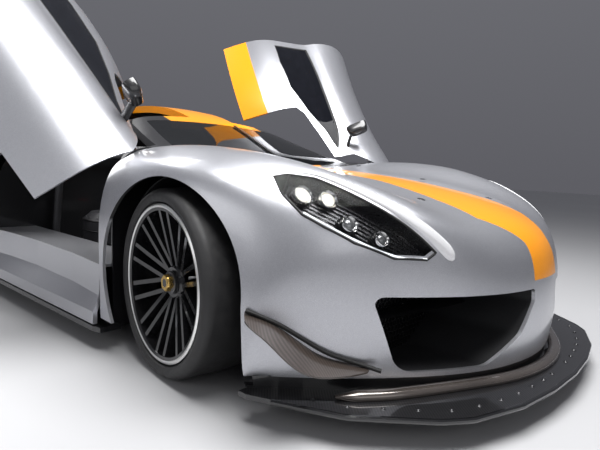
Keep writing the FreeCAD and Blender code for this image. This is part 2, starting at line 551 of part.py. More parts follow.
# Canards: curved blades that drop outwards and rise rearwards round the nose corners
# x from the front axle, y and z along the skin, then along the free edge
CANARD = [(672, 668, 160, 662, 706, 160), (622, 697, 172, 630, 800, 161), (580, 733, 187, 600, 868, 172),
          (541, 774, 208, 588, 928, 204), (492, 820, 245, 567, 968, 243), (445, 866, 282, 526, 984, 276),
          (402, 905, 305, 474, 982, 291), (372, 932, 320, 414, 962, 300)]
CANARD_THICK = 5.0
upper = []
for lift in (0.0, CANARD_THICK):
    inner_edge = [Vector(FRONT_AXLE + x - 40, y - 40, z + lift) for x, y, z, _, _, _ in CANARD]
    outer_edge = [Vector(FRONT_AXLE + x, y, z + lift) for _, _, _, x, y, z in CANARD]
    curves = [Part.BSplineCurve(), Part.BSplineCurve()]
    for curve, points in zip(curves, (inner_edge, outer_edge)):
        curve.interpolate(points)
    upper.append(Part.makeRuledSurface(curves[0].toShape(), curves[1].toShape()))
walls = [Part.makeRuledSurface(a, b) for a, b in zip(upper[0].Edges, upper[1].Edges)]
canard_shell = Part.makeShell(upper + walls)
canard_shell.sewShape()
canard = Part.Solid(canard_shell)
if canard.Volume < 0:
    canard.reverse()
canard = canard.cut(panel(FRONT, FRONT_IN, -SEAT_GAP, 90))
canard = max(canard.Solids, key=lambda s: s.BoundBox.YMax)
save(pair(canard), "canards")

# Wheel wells: half shells over the tyres, closed towards the middle of the car
wells = []
for axle, tyre_r, gap, lean in WELLS:
    outer = wheel_well(axle, tyre_r, gap + LINER_GAP + LINER, lean, ARCH_INNER - LINER)
    hollow = wheel_well(axle, tyre_r, gap + LINER_GAP, lean, ARCH_INNER)
    arch_gap = Part.makeCylinder(215, 40, Vector(axle, ARCH_INNER - 20, tyre_r), Vector(0, 1, 0))
    keep = box((axle - 500, axle + 500), (500, 880), (FLOOR_TOP, 900))
    wells.append(outer.cut([hollow, arch_gap]).common(keep))
wells[0] = wells[0].cut(panel(FRONT, FRONT_IN, -80, PANEL + SEAT_GAP))
save(pair(Part.makeCompound(wells)), "wheel_wells")

# Wheels, modelled on the left about the middle of the axle
WHEELS = [("fl", FRONT_AXLE, 1, TYRE_R_FRONT, TYRE_W_FRONT), ("fr", FRONT_AXLE, -1, TYRE_R_FRONT, TYRE_W_FRONT),
          ("rl", REAR_AXLE, 1, TYRE_R_REAR, TYRE_W_REAR), ("rr", REAR_AXLE, -1, TYRE_R_REAR, TYRE_W_REAR)]
SPOKES = 10
SPOKE_HALF = 11.0


def placed(shape, axle, hand, radius):
    """A wheel's piece at its place on the car, turned with the steering at the front."""
    if hand < 0:
        shape = mirrored(shape)
    shape = shape.translated(Vector(axle, 0, radius))
    if axle == FRONT_AXLE:
        shape.rotate(Vector(axle, hand * KINGPIN_Y, 0), Vector(0, 0, 1), STEER_REST)
    return shape


def tyre_ring(radius, width):
    """Profile from the outer bead over the tread to the inner bead, as (radius, y)."""
    seat = RIM_SEAT + SEAT_GAP
    out, back, flange = WHEEL_FACE, WHEEL_FACE - width, RIM_FLANGE + 3
    half = [(seat, 30), (flange, 26), (flange + 6, 8), (radius - 24, 0), (radius - 3, 24), (radius, 90)]
    radii = [0, 0, 8, 20, TYRE_SHOULDER, 200]
    profile = [(r, out - y) for r, y in half] + [(r, back + y) for r, y in reversed(half)]
    return turned(profile, radii + radii[::-1])


def rim_ring(width):
    out, back = WHEEL_FACE - 10, WHEEL_FACE - width + 14
    inner = RIM_SEAT - RIM_THICK
    barrel = turned([(inner, out - 6), (RIM_FLANGE - 6, out), (RIM_FLANGE, out - 4), (RIM_FLANGE, out - 11),
                     (RIM_SEAT, out - 15), (RIM_SEAT, back + 11), (RIM_FLANGE, back + 8), (RIM_FLANGE, back),
                     (inner, back + 3)])
    hub_face = WHEEL_FACE - 60
    hub = turned([(STUB_R + RUNNING_GAP, hub_face - 60), (HUB_R, hub_face - 60), (HUB_R, hub_face - 14),
                  (HUB_R - 10, hub_face), (STUB_R + RUNNING_GAP, hub_face)])
    parts = [barrel, hub]
    for i in range(SPOKES):
        for lean in (-1, 1):
            near, far = SPOKE_HALF * 1.6 * lean, SPOKE_HALF * 2.6 * lean
            foot = [(near - SPOKE_HALF, hub_face - 42, HUB_R - 8), (near + SPOKE_HALF, hub_face - 42, HUB_R - 8),
                    (near + SPOKE_HALF * 0.7, hub_face - 6, HUB_R - 8), (near - SPOKE_HALF * 0.7, hub_face - 6, HUB_R - 8)]
            tip = [(far - SPOKE_HALF, out - 46, inner + 4), (far + SPOKE_HALF, out - 46, inner + 4),
                   (far + SPOKE_HALF * 0.7, out - 8, inner + 4), (far - SPOKE_HALF * 0.7, out - 8, inner + 4)]
            wires = [Part.makePolygon([Vector(*p) for p in ring + ring[:1]]) for ring in (foot, tip)]
            spoke = Part.makeLoft(wires, True, True)
            spoke.rotate(Vector(0, 0, 0), Vector(0, 1, 0), 360.0 / SPOKES * i)
            parts.append(spoke)
    nut = turned([(0, hub_face), (38, hub_face), (38, hub_face + 8), (27, hub_face + 13), (24, hub_face + 30),
                  (0, hub_face + 30)])
    return parts[0].fuse(parts[1:] + [nut])


def brake_disc():
    front = WHEEL_FACE - 60 - 60 - SEAT_GAP
    return turned([(STUB_R + RUNNING_GAP, front), (90, front), (90, front - 30), (DISC_R, front - 30),
                   (DISC_R, front - 30 - DISC_THICK), (82, front - 30 - DISC_THICK), (82, front - 10),
                   (STUB_R + RUNNING_GAP, front - 10)])


for key, axle, hand, radius, width in WHEELS:
    for name, shape in (("tyre", tyre_ring(radius, width)), ("rim", rim_ring(width)), ("brake_disc", brake_disc())):
        save(placed(shape, axle, hand, radius), name + "_" + key)

# Uprights with stub axle and brake caliper, turning on the kingpins at the front
# Outline of the upright seen from the side, about the wheel's centre
UPRIGHT = [(-38, -150), (38, -150), (34, -110), (62, -45), (62, 45), (34, 110), (38, 150), (-38, 150), (-34, 110),
           (-62, 45), (-62, -45), (-34, -110)]
uprights = {}
DISC_MID = WHEEL_FACE - 60 - 60 - SEAT_GAP - 30 - DISC_THICK / 2
for key, axle, hand, radius, width in WHEELS:
    stub = tube(STUB_R, (0, KINGPIN_Y - 14, 0), (0, WHEEL_FACE - 60 - SEAT_GAP, 0))
    carrier = prism([(x, KINGPIN_Y - 40, z) for x, z in UPRIGHT], (0, 28, 0))
    lugs = box((-38, 38), (KINGPIN_Y - 40, KINGPIN_Y + 20), (120, 150)).fuse(
        box((-38, 38), (KINGPIN_Y - 40, KINGPIN_Y + 20), (-150, -120)))
    pins = tube(KINGPIN_R, (0, KINGPIN_Y, 120), (0, KINGPIN_Y, 200)).fuse(
        tube(KINGPIN_R, (0, KINGPIN_Y, -200), (0, KINGPIN_Y, -120)))
    caliper = turned([(118, DISC_MID - 42), (DISC_R + 18, DISC_MID - 42), (DISC_R + 18, DISC_MID + 36), (118, DISC_MID + 36)])
    caliper = caliper.cut(turned([(60, DISC_MID - 23), (DISC_R + 7, DISC_MID - 23), (DISC_R + 7, DISC_MID + 23),
                                  (60, DISC_MID + 23)]))
    caliper = caliper.common(box((-300, -60), (600, 1000), (-95, 95)))
    arm = box((-130, -30), (KINGPIN_Y - 40, KINGPIN_Y - 12), (-40, 40))
    bracket = box((-150, -110), (KINGPIN_Y - 40, DISC_MID - 30), (-40, 40))
    upright = joined([stub, carrier, lugs, pins, caliper, arm, bracket])
    uprights[key] = placed(upright, axle, hand, radius)
save(uprights["fl"], "upright_fl")
save(uprights["fr"], "upright_fr")
save(Part.makeCompound([uprights["rl"], uprights["rr"]]), "uprights_rear")

# Wishbones from the tub to the kingpins
arms = []
for axle, radius, inner_y, spread in ((FRONT_AXLE, TYRE_R_FRONT, 300, 150), (REAR_AXLE, TYRE_R_REAR, FRAME_HALF, 190)):
    for z in (176, -176):
        eye = Part.makeCylinder(KINGPIN_R + 14, 24, Vector(0, KINGPIN_Y, z - 12))
        legs = [tube(12, (s * spread, inner_y - 20, z * 0.75), (0, KINGPIN_Y - 12, z)) for s in (-1, 1)]
        arm = joined([eye] + legs).common(box((-300, 300), (inner_y, 900), (-300, 300)))
        arm = arm.cut(Part.makeCylinder(KINGPIN_R + RUNNING_GAP, 60, Vector(0, KINGPIN_Y, z - 30)))
        arms.append(arm.translated(Vector(axle, 0, radius)))
save(Part.makeCompound(arms + [mirrored(a) for a in arms]), "wishbones")

# Rear frame: two side plates with lightening holes, joined by a beam that carries the wing
FRAME_SIDE = [(-402, FLOOR_TOP), (-402, 470), (-1180, 470), (-1240, 530), (-1690, 530), (-1840, 700), (-1960, 700),
              (-1960, 135), (-1870, 135), (-1870, FLOOR_TOP)]
# x and z of each hole, radius
FRAME_HOLES = [(-600, 285, 100), (-860, 285, 100), (-1120, 285, 90), (-1460, 355, 85), (-1770, 420, 75)]
plate = prism([(x, 240, z) for x, z in FRAME_SIDE], (0, FRAME_HALF - 240, 0))
plate = plate.cut([Part.makeCylinder(r, 100, Vector(x, 220, z), Vector(0, 1, 0)) for x, z, r in FRAME_HOLES])
beam = box((-1960, -1880), (-240, 240), (600, 700))
rear_frame = joined([plate, mirrored(plate), beam])
save(rear_frame, "rear_frame")

# Engine: a vee block with its two heads and a round plenum, and the gearbox case tapering behind it
ENGINE_HALF = [(150, FLOOR_TOP), (190, 140), (190, 300), (236, 420), (236, 474), (300, 520), (330, 600), (215, 670),
               (165, 640), (95, 520)]
GEARBOX = [(-1060, 205, 450), (-1300, 185, 400), (-1800, 150, 360)]
block = in_front(ENGINE_HALF + [(-y, z) for y, z in reversed(ENGINE_HALF)], -1060, -440)
plenum = tube(115, (-1010, 0, 600), (-490, 0, 600))
case_rings = []
for x, half, top in GEARBOX:
    case = [(half, FLOOR_TOP), (half, top - 90), (half - 60, top), (60 - half, top), (-half, top - 90), (-half, FLOOR_TOP)]
    corners = [Vector(x, y, z) for y, z in case]
    case_rings.append(Part.makePolygon(corners + corners[:1]))
gearbox = Part.makeLoft(case_rings, True, True)
save(joined([block, plenum, gearbox]), "engine")

# Diffuser: ramp, end walls and fins
ramp = in_side([(-3150, 75), (-3150, 95), (-3470, 195), (-3470, 178)], -880, 880)
fins = [prism([(FRONT_AXLE - 3160, y, 76), (FRONT_AXLE - 3160, y, 94), (FRONT_AXLE - 3475, y, 196),
               (FRONT_AXLE - 3475, y, 80)], (0, 8, 0)) for y in (-880, -560, -240, 232, 552, 872)]
diffuser = joined([ramp] + fins)
save(diffuser, "diffuser")

# Rear wing: inverted section with end plates on two pylons that pass through the deck
WING = [(-2002, 1112), (-2010, 1100), (-2035, 1091), (-2070, 1086), (-2175, 1086), (-2240, 1100), (-2310, 1132),
        (-2309, 1137), (-2230, 1122), (-2150, 1116), (-2060, 1118), (-2015, 1122)]
END_PLATE = [(-1990, 1140), (-2310, 1165), (-2310, 1010), (-2180, 965), (-2020, 1015)]
PYLON = [(-1872, 590), (-1948, 590), (-1956, 830), (-2172, 1086), (-2074, 1086), (-1880, 830)]
PYLON_Y = FRAME_HALF + 6
WING_HALF = 880.0
wing = prism([(x, -WING_HALF, z) for x, z in WING], (0, 2 * WING_HALF, 0))
plates = [prism([(x, y, z) for x, z in END_PLATE], (0, 8, 0)) for y in (-WING_HALF - 8, WING_HALF)]
save(joined([wing] + plates), "rear_wing")
pylon = prism([(x, PYLON_Y - 6, z) for x, z in PYLON], (0, 12, 0))
save(pair(pylon), "wing_pylons")

# Exhaust pipes from the gearbox case out under the tail
pipe = tube(46, (-2162, 130, 290), (-1800, 130, 290)).cut(tube(41, (-2165, 130, 290), (-1820, 130, 290)))
save(pair(pipe), "exhausts")

# Cockpit: dashboard, seat, steering wheel, energy store and roll hoop
dash = in_side([(-COWL_BACK, 640), (-COWL_BACK, 700), (-600, 708), (-690, 688), (-700, 640), (-560, 560)], -620, 620)
console = box((FRONT_AXLE - 1300, FRONT_AXLE - 640), (-90, 90), (SILL_TOP, 400))
foot = in_side([(-560, 560), (-700, 640), (-760, SILL_TOP), (-640, SILL_TOP)], -90, 90)
save(joined([dash, foot, console]), "dashboard")
SEAT_Y = 365.0
seat_side = [(-1000, FLOOR_TOP), (-1460, FLOOR_TOP), (-1570, 860), (-1500, 880), (-1380, 340), (-1310, 230), (-1030, 280)]
seat = in_side(seat_side, SEAT_Y - 220, SEAT_Y + 220)
scoop = in_side([(-970, 300), (-1034, 262), (-1315, 212), (-1392, 330), (-1520, 900), (-1230, 900)], SEAT_Y - 185, SEAT_Y + 185)
wings = in_side([(-1030, 280), (-1050, 380), (-1310, 420), (-1400, 640), (-1450, 860), (-1500, 880), (-1380, 340),
                 (-1310, 230)], SEAT_Y - 220, SEAT_Y + 220)
seat = joined([seat, wings]).cut(scoop)
save(seat, "seat")
# Outline of the steering wheel, and of the opening for a hand, both for the left half, as (y, z)
YOKE = [(0, 52), (95, 66), (128, 62), (140, 40), (142, -40), (124, -74), (88, -80), (70, -60), (0, -54)]
YOKE_GRIP = [(72, 40), (104, 44), (114, 30), (115, -34), (104, -52), (86, -50), (72, -30)]
yoke = in_front(YOKE + [(-y, z) for y, z in reversed(YOKE[1:-1])], -12, 12)
grips = [in_front([(hand * y, z) for y, z in YOKE_GRIP], -20, 20) for hand in (-1, 1)]
boss = Part.makeCone(46, 36, 40, Vector(-22, 0, 0), Vector(1, 0, 0))
column = Part.makeCylinder(18, 240, Vector(10, 0, 0), Vector(1, 0, 0))
steering_wheel = joined([yoke.cut(grips), boss, column])
steering_wheel.rotate(Vector(0, 0, 0), Vector(0, 1, 0), 16)
steering_wheel.translate(Vector(FRONT_AXLE - 830, SEAT_Y, 690))
steering_wheel = max(steering_wheel.cut(dash).Solids, key=lambda s: s.Volume)
save(steering_wheel, "steering_wheel")
drum = Part.makeCylinder(190, 300, Vector(FRONT_AXLE - 1300, -400, FLOOR_TOP))
lid = Part.makeCone(190, 150, 40, Vector(FRONT_AXLE - 1300, -400, FLOOR_TOP + 300))
save(joined([drum, lid]), "energy_store")
HOOP = [(-1604, 640, FLOOR_TOP), (-1604, 600, 700), (-1604, 400, 955), (-1604, 0, 990)]
hoop = []
for a, b in zip(HOOP, HOOP[1:]):
    a, b = [(FRONT_AXLE + x, y, z) for x, y, z in (a, b)]
    hoop.append(tube(20, a, b))
    if b[1] > 0:
        hoop.append(Part.makeSphere(20, Vector(*b)))
brace = tube(20, (FRONT_AXLE - 1604, 560, 750), (FRONT_AXLE - 1604, -560, 750))
hoop = joined(hoop + [mirrored(h) for h in hoop] + [brace]).cut(floor)
save(hoop, "roll_hoop")

# Wiper at the foot of the windscreen
wiper_plan = [(-404, 46), (-404, 58), (-430, 62), (-900, 118), (-900, 100), (-430, 42)]
wiper = panel(CABIN, CABIN_IN, -9, -3).common(in_plan(wiper_plan, 600, 1200))
pivot = Part.makeCylinder(7, 40, Vector(FRONT_AXLE - 410, 52, 735)).cut(panel(CABIN, CABIN_IN, -SEAT_GAP, 60))
save(joined([wiper, pivot]), "wiper")
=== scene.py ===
import json
import math

import bmesh
import bpy
from mathutils import Matrix, Vector
from mathutils.bvhtree import BVHTree


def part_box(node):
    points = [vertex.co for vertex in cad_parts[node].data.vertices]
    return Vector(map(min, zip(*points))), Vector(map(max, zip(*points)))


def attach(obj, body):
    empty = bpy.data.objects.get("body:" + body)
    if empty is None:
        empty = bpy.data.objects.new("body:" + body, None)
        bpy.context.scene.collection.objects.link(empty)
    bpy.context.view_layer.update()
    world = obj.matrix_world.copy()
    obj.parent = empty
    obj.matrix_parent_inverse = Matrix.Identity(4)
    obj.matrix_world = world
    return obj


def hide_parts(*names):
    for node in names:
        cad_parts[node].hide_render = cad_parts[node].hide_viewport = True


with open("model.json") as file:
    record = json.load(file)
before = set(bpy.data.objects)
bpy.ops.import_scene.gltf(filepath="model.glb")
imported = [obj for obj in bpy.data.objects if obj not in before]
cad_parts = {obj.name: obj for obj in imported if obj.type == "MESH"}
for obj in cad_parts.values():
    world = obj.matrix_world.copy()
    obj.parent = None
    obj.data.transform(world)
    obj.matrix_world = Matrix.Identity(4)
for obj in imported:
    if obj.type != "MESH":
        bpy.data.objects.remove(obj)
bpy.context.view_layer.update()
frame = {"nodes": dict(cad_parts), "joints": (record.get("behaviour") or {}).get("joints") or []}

NODES = frame["nodes"]
JOINTS = {joint["name"]: joint for joint in frame["joints"]}
SIDES = (("left", 1), ("right", -1))

# The four corners, and places on the car in metres
WHEELS = ("fl", "fr", "rl", "rr")
CENTRES = {key: (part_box("tyre_" + key)[0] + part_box("tyre_" + key)[1]) / 2 for key in WHEELS}
FRONT_AXLE = CENTRES["fl"].x
DOOR_OPEN = math.radians(JOINTS["door_right_swing"]["range_deg"][1])
SEAT_Y = (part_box("seat")[0].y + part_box("seat")[1].y) / 2
SPLITTER_TOP = 0.090

# The camera stands low by the right front corner, as in the photograph
CAMERA_FROM_AXLE = Vector((1.42, -1.90, 0.73))
CAMERA_YAW = math.radians(131.5)
CAMERA_PITCH = math.radians(-6.2)
CAMERA_ROLL = math.radians(2.9)
LENS = 30.55

# Colours, linear
SILVER = (0.46, 0.465, 0.50)
SILVER_FLAKE = (0.74, 0.75, 0.78)
SILVER_CLOUD = (0.62, 0.61, 0.66)
# Near-white of the lamp crest, a painted highlight
CREST_HIGHLIGHT_WHITE = (0.82, 0.82, 0.84)
ORANGE = (1.0, 0.345, 0.0)
ORANGE_FLAKE = (1.0, 0.40, 0.004)
CARBON_DARK = (0.005, 0.005, 0.006)
CARBON_LIGHT = (0.017, 0.017, 0.019)
# Unpainted carbon inside the panels, also used as painted shade on downward painted faces
BARE_CARBON_AND_SHADE = (0.012, 0.012, 0.013)

# Half-widths of the orange band: on the bonnet at the screen and ahead of it, what it loses at the very nose,
# on the roof and at the tail
BAND_SCREEN = 0.165
BAND_NOSE = 0.228
BAND_TAPER = 0.110
BAND_ROOF = 0.330
BAND_TAIL = 0.262
# Where it widens and narrows ahead of the front axle, where it changes behind it, where the cowl parts it,
# and how low it comes
BAND_WIDENS = (0.30, 0.58)
BAND_NARROWS = (0.73, 0.86)
BAND_BEHIND = (-2.1, -0.4)
BAND_COWL = -0.412
BAND_FOOT = 0.40
# How fine the flakes in the paint are
FLAKES = 1100.0


class Value:
    """A number, colour or place inside a node tree, for sums written as usual."""

    def __init__(self, nodes, socket):
        self.nodes, self.socket = nodes, socket

    def __add__(self, other):
        return self.nodes.math("ADD", self, other)

    def __sub__(self, other):
        return self.nodes.math("SUBTRACT", self, other)

    def __rsub__(self, other):
        return self.nodes.math("SUBTRACT", other, self)

    def __mul__(self, other):
        return self.nodes.math("MULTIPLY", self, other)

    def __truediv__(self, other):
        return self.nodes.math("DIVIDE", self, other)


class Nodes:
    """A short way to write the node tree of a material or world."""

    def __init__(self, owner, shader="Principled BSDF"):
        owner.use_nodes = True
        self.owner = owner
        self.tree = owner.node_tree
        self.shader = self.tree.nodes[shader]

    def add(self, kind, **settings):
        node = self.tree.nodes.new("ShaderNode" + kind)
        for key, value in settings.items():
            setattr(node, key, value)
        return node

    def feed(self, socket, value):
        """Links a value to a socket, or sets a number, vector or colour on it."""
        if isinstance(value, Value):
            self.tree.links.new(value.socket, socket)
        elif socket.type == "RGBA":
            socket.default_value = (*value, 1.0)
        else:
            socket.default_value = value

    def node(self, kind, values, output=0, **settings):
        """A node fed by socket names or places in the list, as the value of one output."""
        node = self.add(kind, **settings)
        for key, value in values.items() if isinstance(values, dict) else enumerate(values):
            self.feed(node.inputs[key], value)
        return Value(self, node.outputs[output])

    def math(self, operation, *values):
        return self.node("Math", values, operation=operation)

    def root(self, value):
        return self.math("SQRT", value)

    def sine(self, value):
        return self.math("SINE", value)

    def dot(self, vector, other):
        return self.node("VectorMath", (vector, other), 1, operation="DOT_PRODUCT")

    def place(self, kind="Object"):
        return self.node("TexCoord", (), kind)

    def xyz(self, vector):
        split = self.add("SeparateXYZ")
        self.feed(split.inputs[0], vector)
        return [Value(self, output) for output in split.outputs]

    def ramp(self, value, low, high, to_low=0.0, to_high=1.0):
        return self.node("MapRange", (value, low, high, to_low, to_high))

    def noise(self, scale, detail=2.0, roughness=0.5, place=None):
        return self.node("TexNoise", {"Vector": place or self.place(), "Scale": scale, "Detail": detail,
                                      "Roughness": roughness})

    def mix(self, share, one, two):
        return self.node("Mix", {0: share, 6: one, 7: two}, 2, data_type="RGBA")

    def bump(self, height, strength, distance):
        return self.node("Bump", {"Height": height, "Strength": strength, "Distance": distance})

    def set(self, **values):
        """Feeds the shader's own sockets. Returns the material or world."""
        for key, value in values.items():
            self.feed(self.shader.inputs[key.replace("_", " ")], value)
        return self.owner


def surface(name):
    return Nodes(bpy.data.materials.new(name))


def shaded(colour, share):
    return tuple(c * share for c in colour)


def door_turn(side, angle):
    """The door's hinge as a centre, an axis and an angle that opens a shut door for positive values."""
    joint = JOINTS["door_" + side + "_swing"]
    return joint["pos_m"], joint["axis"], angle if side == "left" else -angle


def opened(side):
    """The matrix that swings a shut door's places to the open door, as stored."""
    centre, axis, angle = door_turn(side, DOOR_OPEN)
    turn = Matrix.Rotation(angle, 4, Vector(axis))
    return Matrix.Translation(centre) @ turn @ Matrix.Translation(-Vector(centre))


def shut(n, side, vector, around_hinge=True):
    """Turns a place or a direction on an open door back to the shut door."""
    centre, axis, angle = door_turn(side, -DOOR_OPEN)
    values = {"Vector": vector, "Axis": axis, "Angle": angle}
    if around_hinge:
        values["Center"] = centre
    return n.node("VectorRotate", values, rotation_type="AXIS_ANGLE")


def band_share(n, place):
    """1 on the orange band along the middle of the car and 0 beside it."""
    x, y, z = n.xyz(place)
    ahead = x - FRONT_AXLE
    half = n.ramp(ahead, *BAND_WIDENS, BAND_SCREEN, BAND_NOSE) - n.ramp(ahead, *BAND_NARROWS, 0.0, BAND_TAPER)
    on_bonnet = n.ramp(ahead, BAND_COWL, BAND_COWL + 0.002)
    half = half * on_bonnet + n.ramp(x, *BAND_BEHIND, BAND_TAIL, BAND_ROOF) * (1.0 - on_bonnet)
    return n.ramp(half - n.math("ABSOLUTE", y), 0.0, 0.0012) * n.ramp(z, BAND_FOOT, BAND_FOOT + 0.002)


def paint(name, side=None, ground="silver"):
    """Metallic silver, or black lacquer, with the orange band. What faces inwards is unpainted carbon, and
    what faces steeply downwards is darkened the same way: unpainted carbon inside the panels, painted shade
    on painted faces such as the arch lips.
    """
    n = surface(name)
    place, facing = n.place(), n.place("Normal")
    if side:
        place = shut(n, side, place)
        facing = shut(n, side, facing, around_hinge=False)
    _, out, up = n.xyz(facing)
    outward = out * n.math("SIGN", n.xyz(place)[1])
    # Faces turned down past this limit go dark: unpainted carbon inside the panels, painted shade on painted
    # faces such as the arch lips
    under = -0.50 if ground == "silver" else -0.08
    bare_and_shade = n.math("MAXIMUM", n.ramp(outward, -0.30, -0.34) * n.ramp(up, 0.12, 0.08),
                  n.ramp(up, under, under - 0.04))
    if side:
        bare_and_shade = n.math("MAXIMUM", bare_and_shade, n.ramp(outward + up, -0.30, -0.34))
    covered = 1.0 - bare_and_shade
    band = band_share(n, place) * covered
    flakes = n.noise(FLAKES, 1.0, place=place)
    if ground == "silver":
        metal = 0.80
        body = n.mix(n.ramp(flakes, 0.42, 0.70), SILVER, SILVER_FLAKE)
        body = n.mix(n.ramp(n.noise(2.5, place=place), 0.35, 0.65, 0.0, 0.10), body, SILVER_CLOUD)
    else:
        metal = 0.10
        body = n.mix(n.ramp(flakes, 0.4, 0.7), (0.006, 0.006, 0.007), (0.020, 0.019, 0.020))
    colour = n.mix(band, body, n.mix(n.ramp(flakes, 0.45, 0.75, 0.0, 0.35), ORANGE, ORANGE_FLAKE))
    return n.set(Base_Color=n.mix(bare_and_shade, colour, BARE_CARBON_AND_SHADE), Coat_Weight=0.55, Coat_Roughness=0.03,
                 Metallic=(metal - band * (metal - 0.08)) * covered,
                 Roughness=n.ramp(flakes, 0.3, 0.7, 0.30, 0.37),
                 Normal=n.bump(flakes, 0.06, 0.0002))


def crest_highlight_paint():
    """The strip along the lamp, painted near-white as a painted highlight."""
    n = surface("crest_painted_highlight")
    flakes = n.noise(FLAKES, 1.0)
    return n.set(Base_Color=n.mix(n.ramp(flakes, 0.4, 0.7), CREST_HIGHLIGHT_WHITE, (0.90, 0.90, 0.91)), Metallic=0.15,
                 Roughness=n.ramp(flakes, 0.3, 0.7, 0.24, 0.32), Coat_Weight=1.0, Coat_Roughness=0.03,
                 Normal=n.bump(flakes, 0.05, 0.0002))


def carbon(name, dark=CARBON_DARK, light=CARBON_LIGHT, tow=0.0028):
    """Twill weave of tows of one width, under clear lacquer."""
    n = surface(name)
    x, y, z = n.xyz(n.place())
    across, along = (y + z * 0.7) / tow, (x + z * 0.7) / tow
    crossing = n.math("FLOOR", across) + n.math("FLOOR", along)
    over = n.math("LESS_THAN", n.math("FLOORED_MODULO", crossing, 4.0), 1.5)
    thread = n.sine((across + along) * 6.2832)
    middle = tuple((a + b) / 2 for a, b in zip(dark, light))
    colour = n.mix(n.ramp(n.noise(7.0, 3.0), 0.35, 0.75, 0.0, 0.30), n.mix(over, dark, light), middle)
    return n.set(Base_Color=colour, Metallic=0.15, Coat_Weight=1.0, Coat_Roughness=0.04,
                 Roughness=n.ramp(over, 0.0, 1.0, 0.42, 0.30),
                 Normal=n.bump(over * 0.6 + thread * 0.12, 0.10, 0.0003))


def plain(name, colour, rough=0.5, metal=0.0, grain=260.0, depth=0.25, other=None, coat=0.0):
    """A moulded, cast or painted surface with a fine grain and slow changes of tone."""
    n = surface(name)
    tone, grit = n.noise(7.0, 3.0), n.noise(grain, 2.0)
    return n.set(Base_Color=n.mix(n.ramp(tone, 0.3, 0.7), other or shaded(colour, 0.72), colour),
                 Metallic=metal, Coat_Weight=coat, Normal=n.bump(grit, depth, 0.0006),
                 Roughness=n.ramp(grit, 0.3, 0.7, max(rough - 0.07, 0.02), rough + 0.07))


def glowing(name, colour, strength):
    """A lit lens with faint ribs in it."""
    n = surface(name)
    x, y, _ = n.xyz(n.place())
    ribs = n.sine((x + y) * 1300.0)
    return n.set(Base_Color=colour, Roughness=0.18, Coat_Weight=1.0, Emission_Strength=strength,
                 Emission_Color=n.mix(n.ramp(ribs, -1.0, 1.0), shaded(colour, 0.8), colour),
                 Normal=n.bump(ribs, 0.2, 0.0004))


def glass(name, tint, clear, grazing, shine=0.5):
    """Thin glazing: see-through face on, more of a mirror at a slant."""
    n = surface(name)
    facing = n.node("LayerWeight", (), "Facing")
    smear = n.noise(14.0, 4.0)
    return n.set(Base_Color=n.mix(n.ramp(smear, 0.3, 0.8), tint, shaded(tint, 1.5)),
                 Alpha=n.ramp(facing, 0.15, 0.95, 1.0 - clear, grazing),
                 Roughness=n.ramp(smear, 0.3, 0.8, 0.01, 0.03), Specular_IOR_Level=shine)


def woven(name, colour, pitch=0.0016):
    """Knitted cloth: warp over weft, a little worn."""
    n = surface(name)
    x, y, z = n.xyz(n.place())
    turn = 2 * math.pi / pitch
    cloth = n.sine((x + z) * turn) * n.sine((y - z * 0.3) * turn)
    worn = n.mix(n.noise(12.0, 4.0), shaded(colour, 0.7), shaded(colour, 1.3))
    return n.set(Base_Color=worn, Roughness=0.88, Sheen_Weight=0.3, Normal=n.bump(cloth, 0.3, 0.0005))


def wheel_frame(key):
    """The wheel's directions: ahead, out along its axle, and up."""
    axle = Vector(JOINTS["spin_" + key]["axis"]).normalized()
    out = axle if CENTRES[key].y > 0 else -axle
    ahead = Vector((1, 0, 0))
    return (ahead - out * ahead.dot(out)).normalized(), out, Vector((0, 0, 1))


def wheel_size(key, part):
    """How far a tyre or rim reaches out along the axle, and its radius."""
    out = wheel_frame(key)[1]
    places = [v.co - CENTRES[key] for v in NODES[part + "_" + key].data.vertices]
    return max(p.dot(out) for p in places), max(p.z for p in places)


def wheel_polar(n, key):
    """Distance from the wheel's axle, angle round it, and distance outwards along it."""
    ahead, out, up = wheel_frame(key)
    offset = n.node("VectorMath", (n.place(), CENTRES[key]), operation="SUBTRACT")
    a, c = n.dot(offset, ahead), n.dot(offset, up)
    return n.root(a * a + c * c), n.math("ARCTAN2", c, a), n.dot(offset, out)


def rubber(key):
    """Slick tyre: matt tread with fine scuffs, smoother sidewall with moulded rings, lightened as a painted
    highlight.
    """
    n = surface("tyre_rubber_" + key)
    half, edge = wheel_size(key, "tyre")
    radius, _, out = wheel_polar(n, key)
    on_wall = n.ramp(n.math("ABSOLUTE", out), half - 0.022, half - 0.012)
    wall = on_wall * n.ramp(radius, edge - 0.030, edge - 0.036)
    scuff = n.noise(45.0, 5.0, 0.65)
    height = n.sine(radius * 1500.0) * (wall * 0.35) + n.noise(700.0) * 0.6
    colour = n.mix(n.ramp(scuff, 0.35, 0.75), (0.009, 0.009, 0.010), (0.024, 0.023, 0.023))
    # The outer sidewall is mixed halfway to a lighter grey as a painted highlight.
    return n.set(Base_Color=n.mix(on_wall * 0.5, colour, (0.030, 0.030, 0.031)),
                 Roughness=n.ramp(scuff, 0.3, 0.7, 0.46, 0.68), Normal=n.bump(height, 0.25, 0.0005))


def rim_finish(key):
    """Gloss black wheel with a machined outer flange."""
    n = surface("wheel_alloy_" + key)
    half, edge = wheel_size(key, "rim")
    radius, _, out = wheel_polar(n, key)
    flange = n.ramp(radius, edge - 0.0130, edge - 0.0120) * n.ramp(out, half - 0.013, half - 0.0115)
    black = n.mix(n.noise(12.0), (0.006, 0.006, 0.007), (0.013, 0.013, 0.014))
    bright = n.mix(n.noise(240.0), (0.84, 0.84, 0.82), (0.94, 0.94, 0.92))
    return n.set(Base_Color=n.mix(flange, black, bright), Metallic=flange, Coat_Weight=0.6,
                 Roughness=n.ramp(flange, 0.0, 1.0, 0.20, 0.34),
                 Normal=n.bump(n.sine(radius * 9000.0) * flange, 0.08, 0.0001))


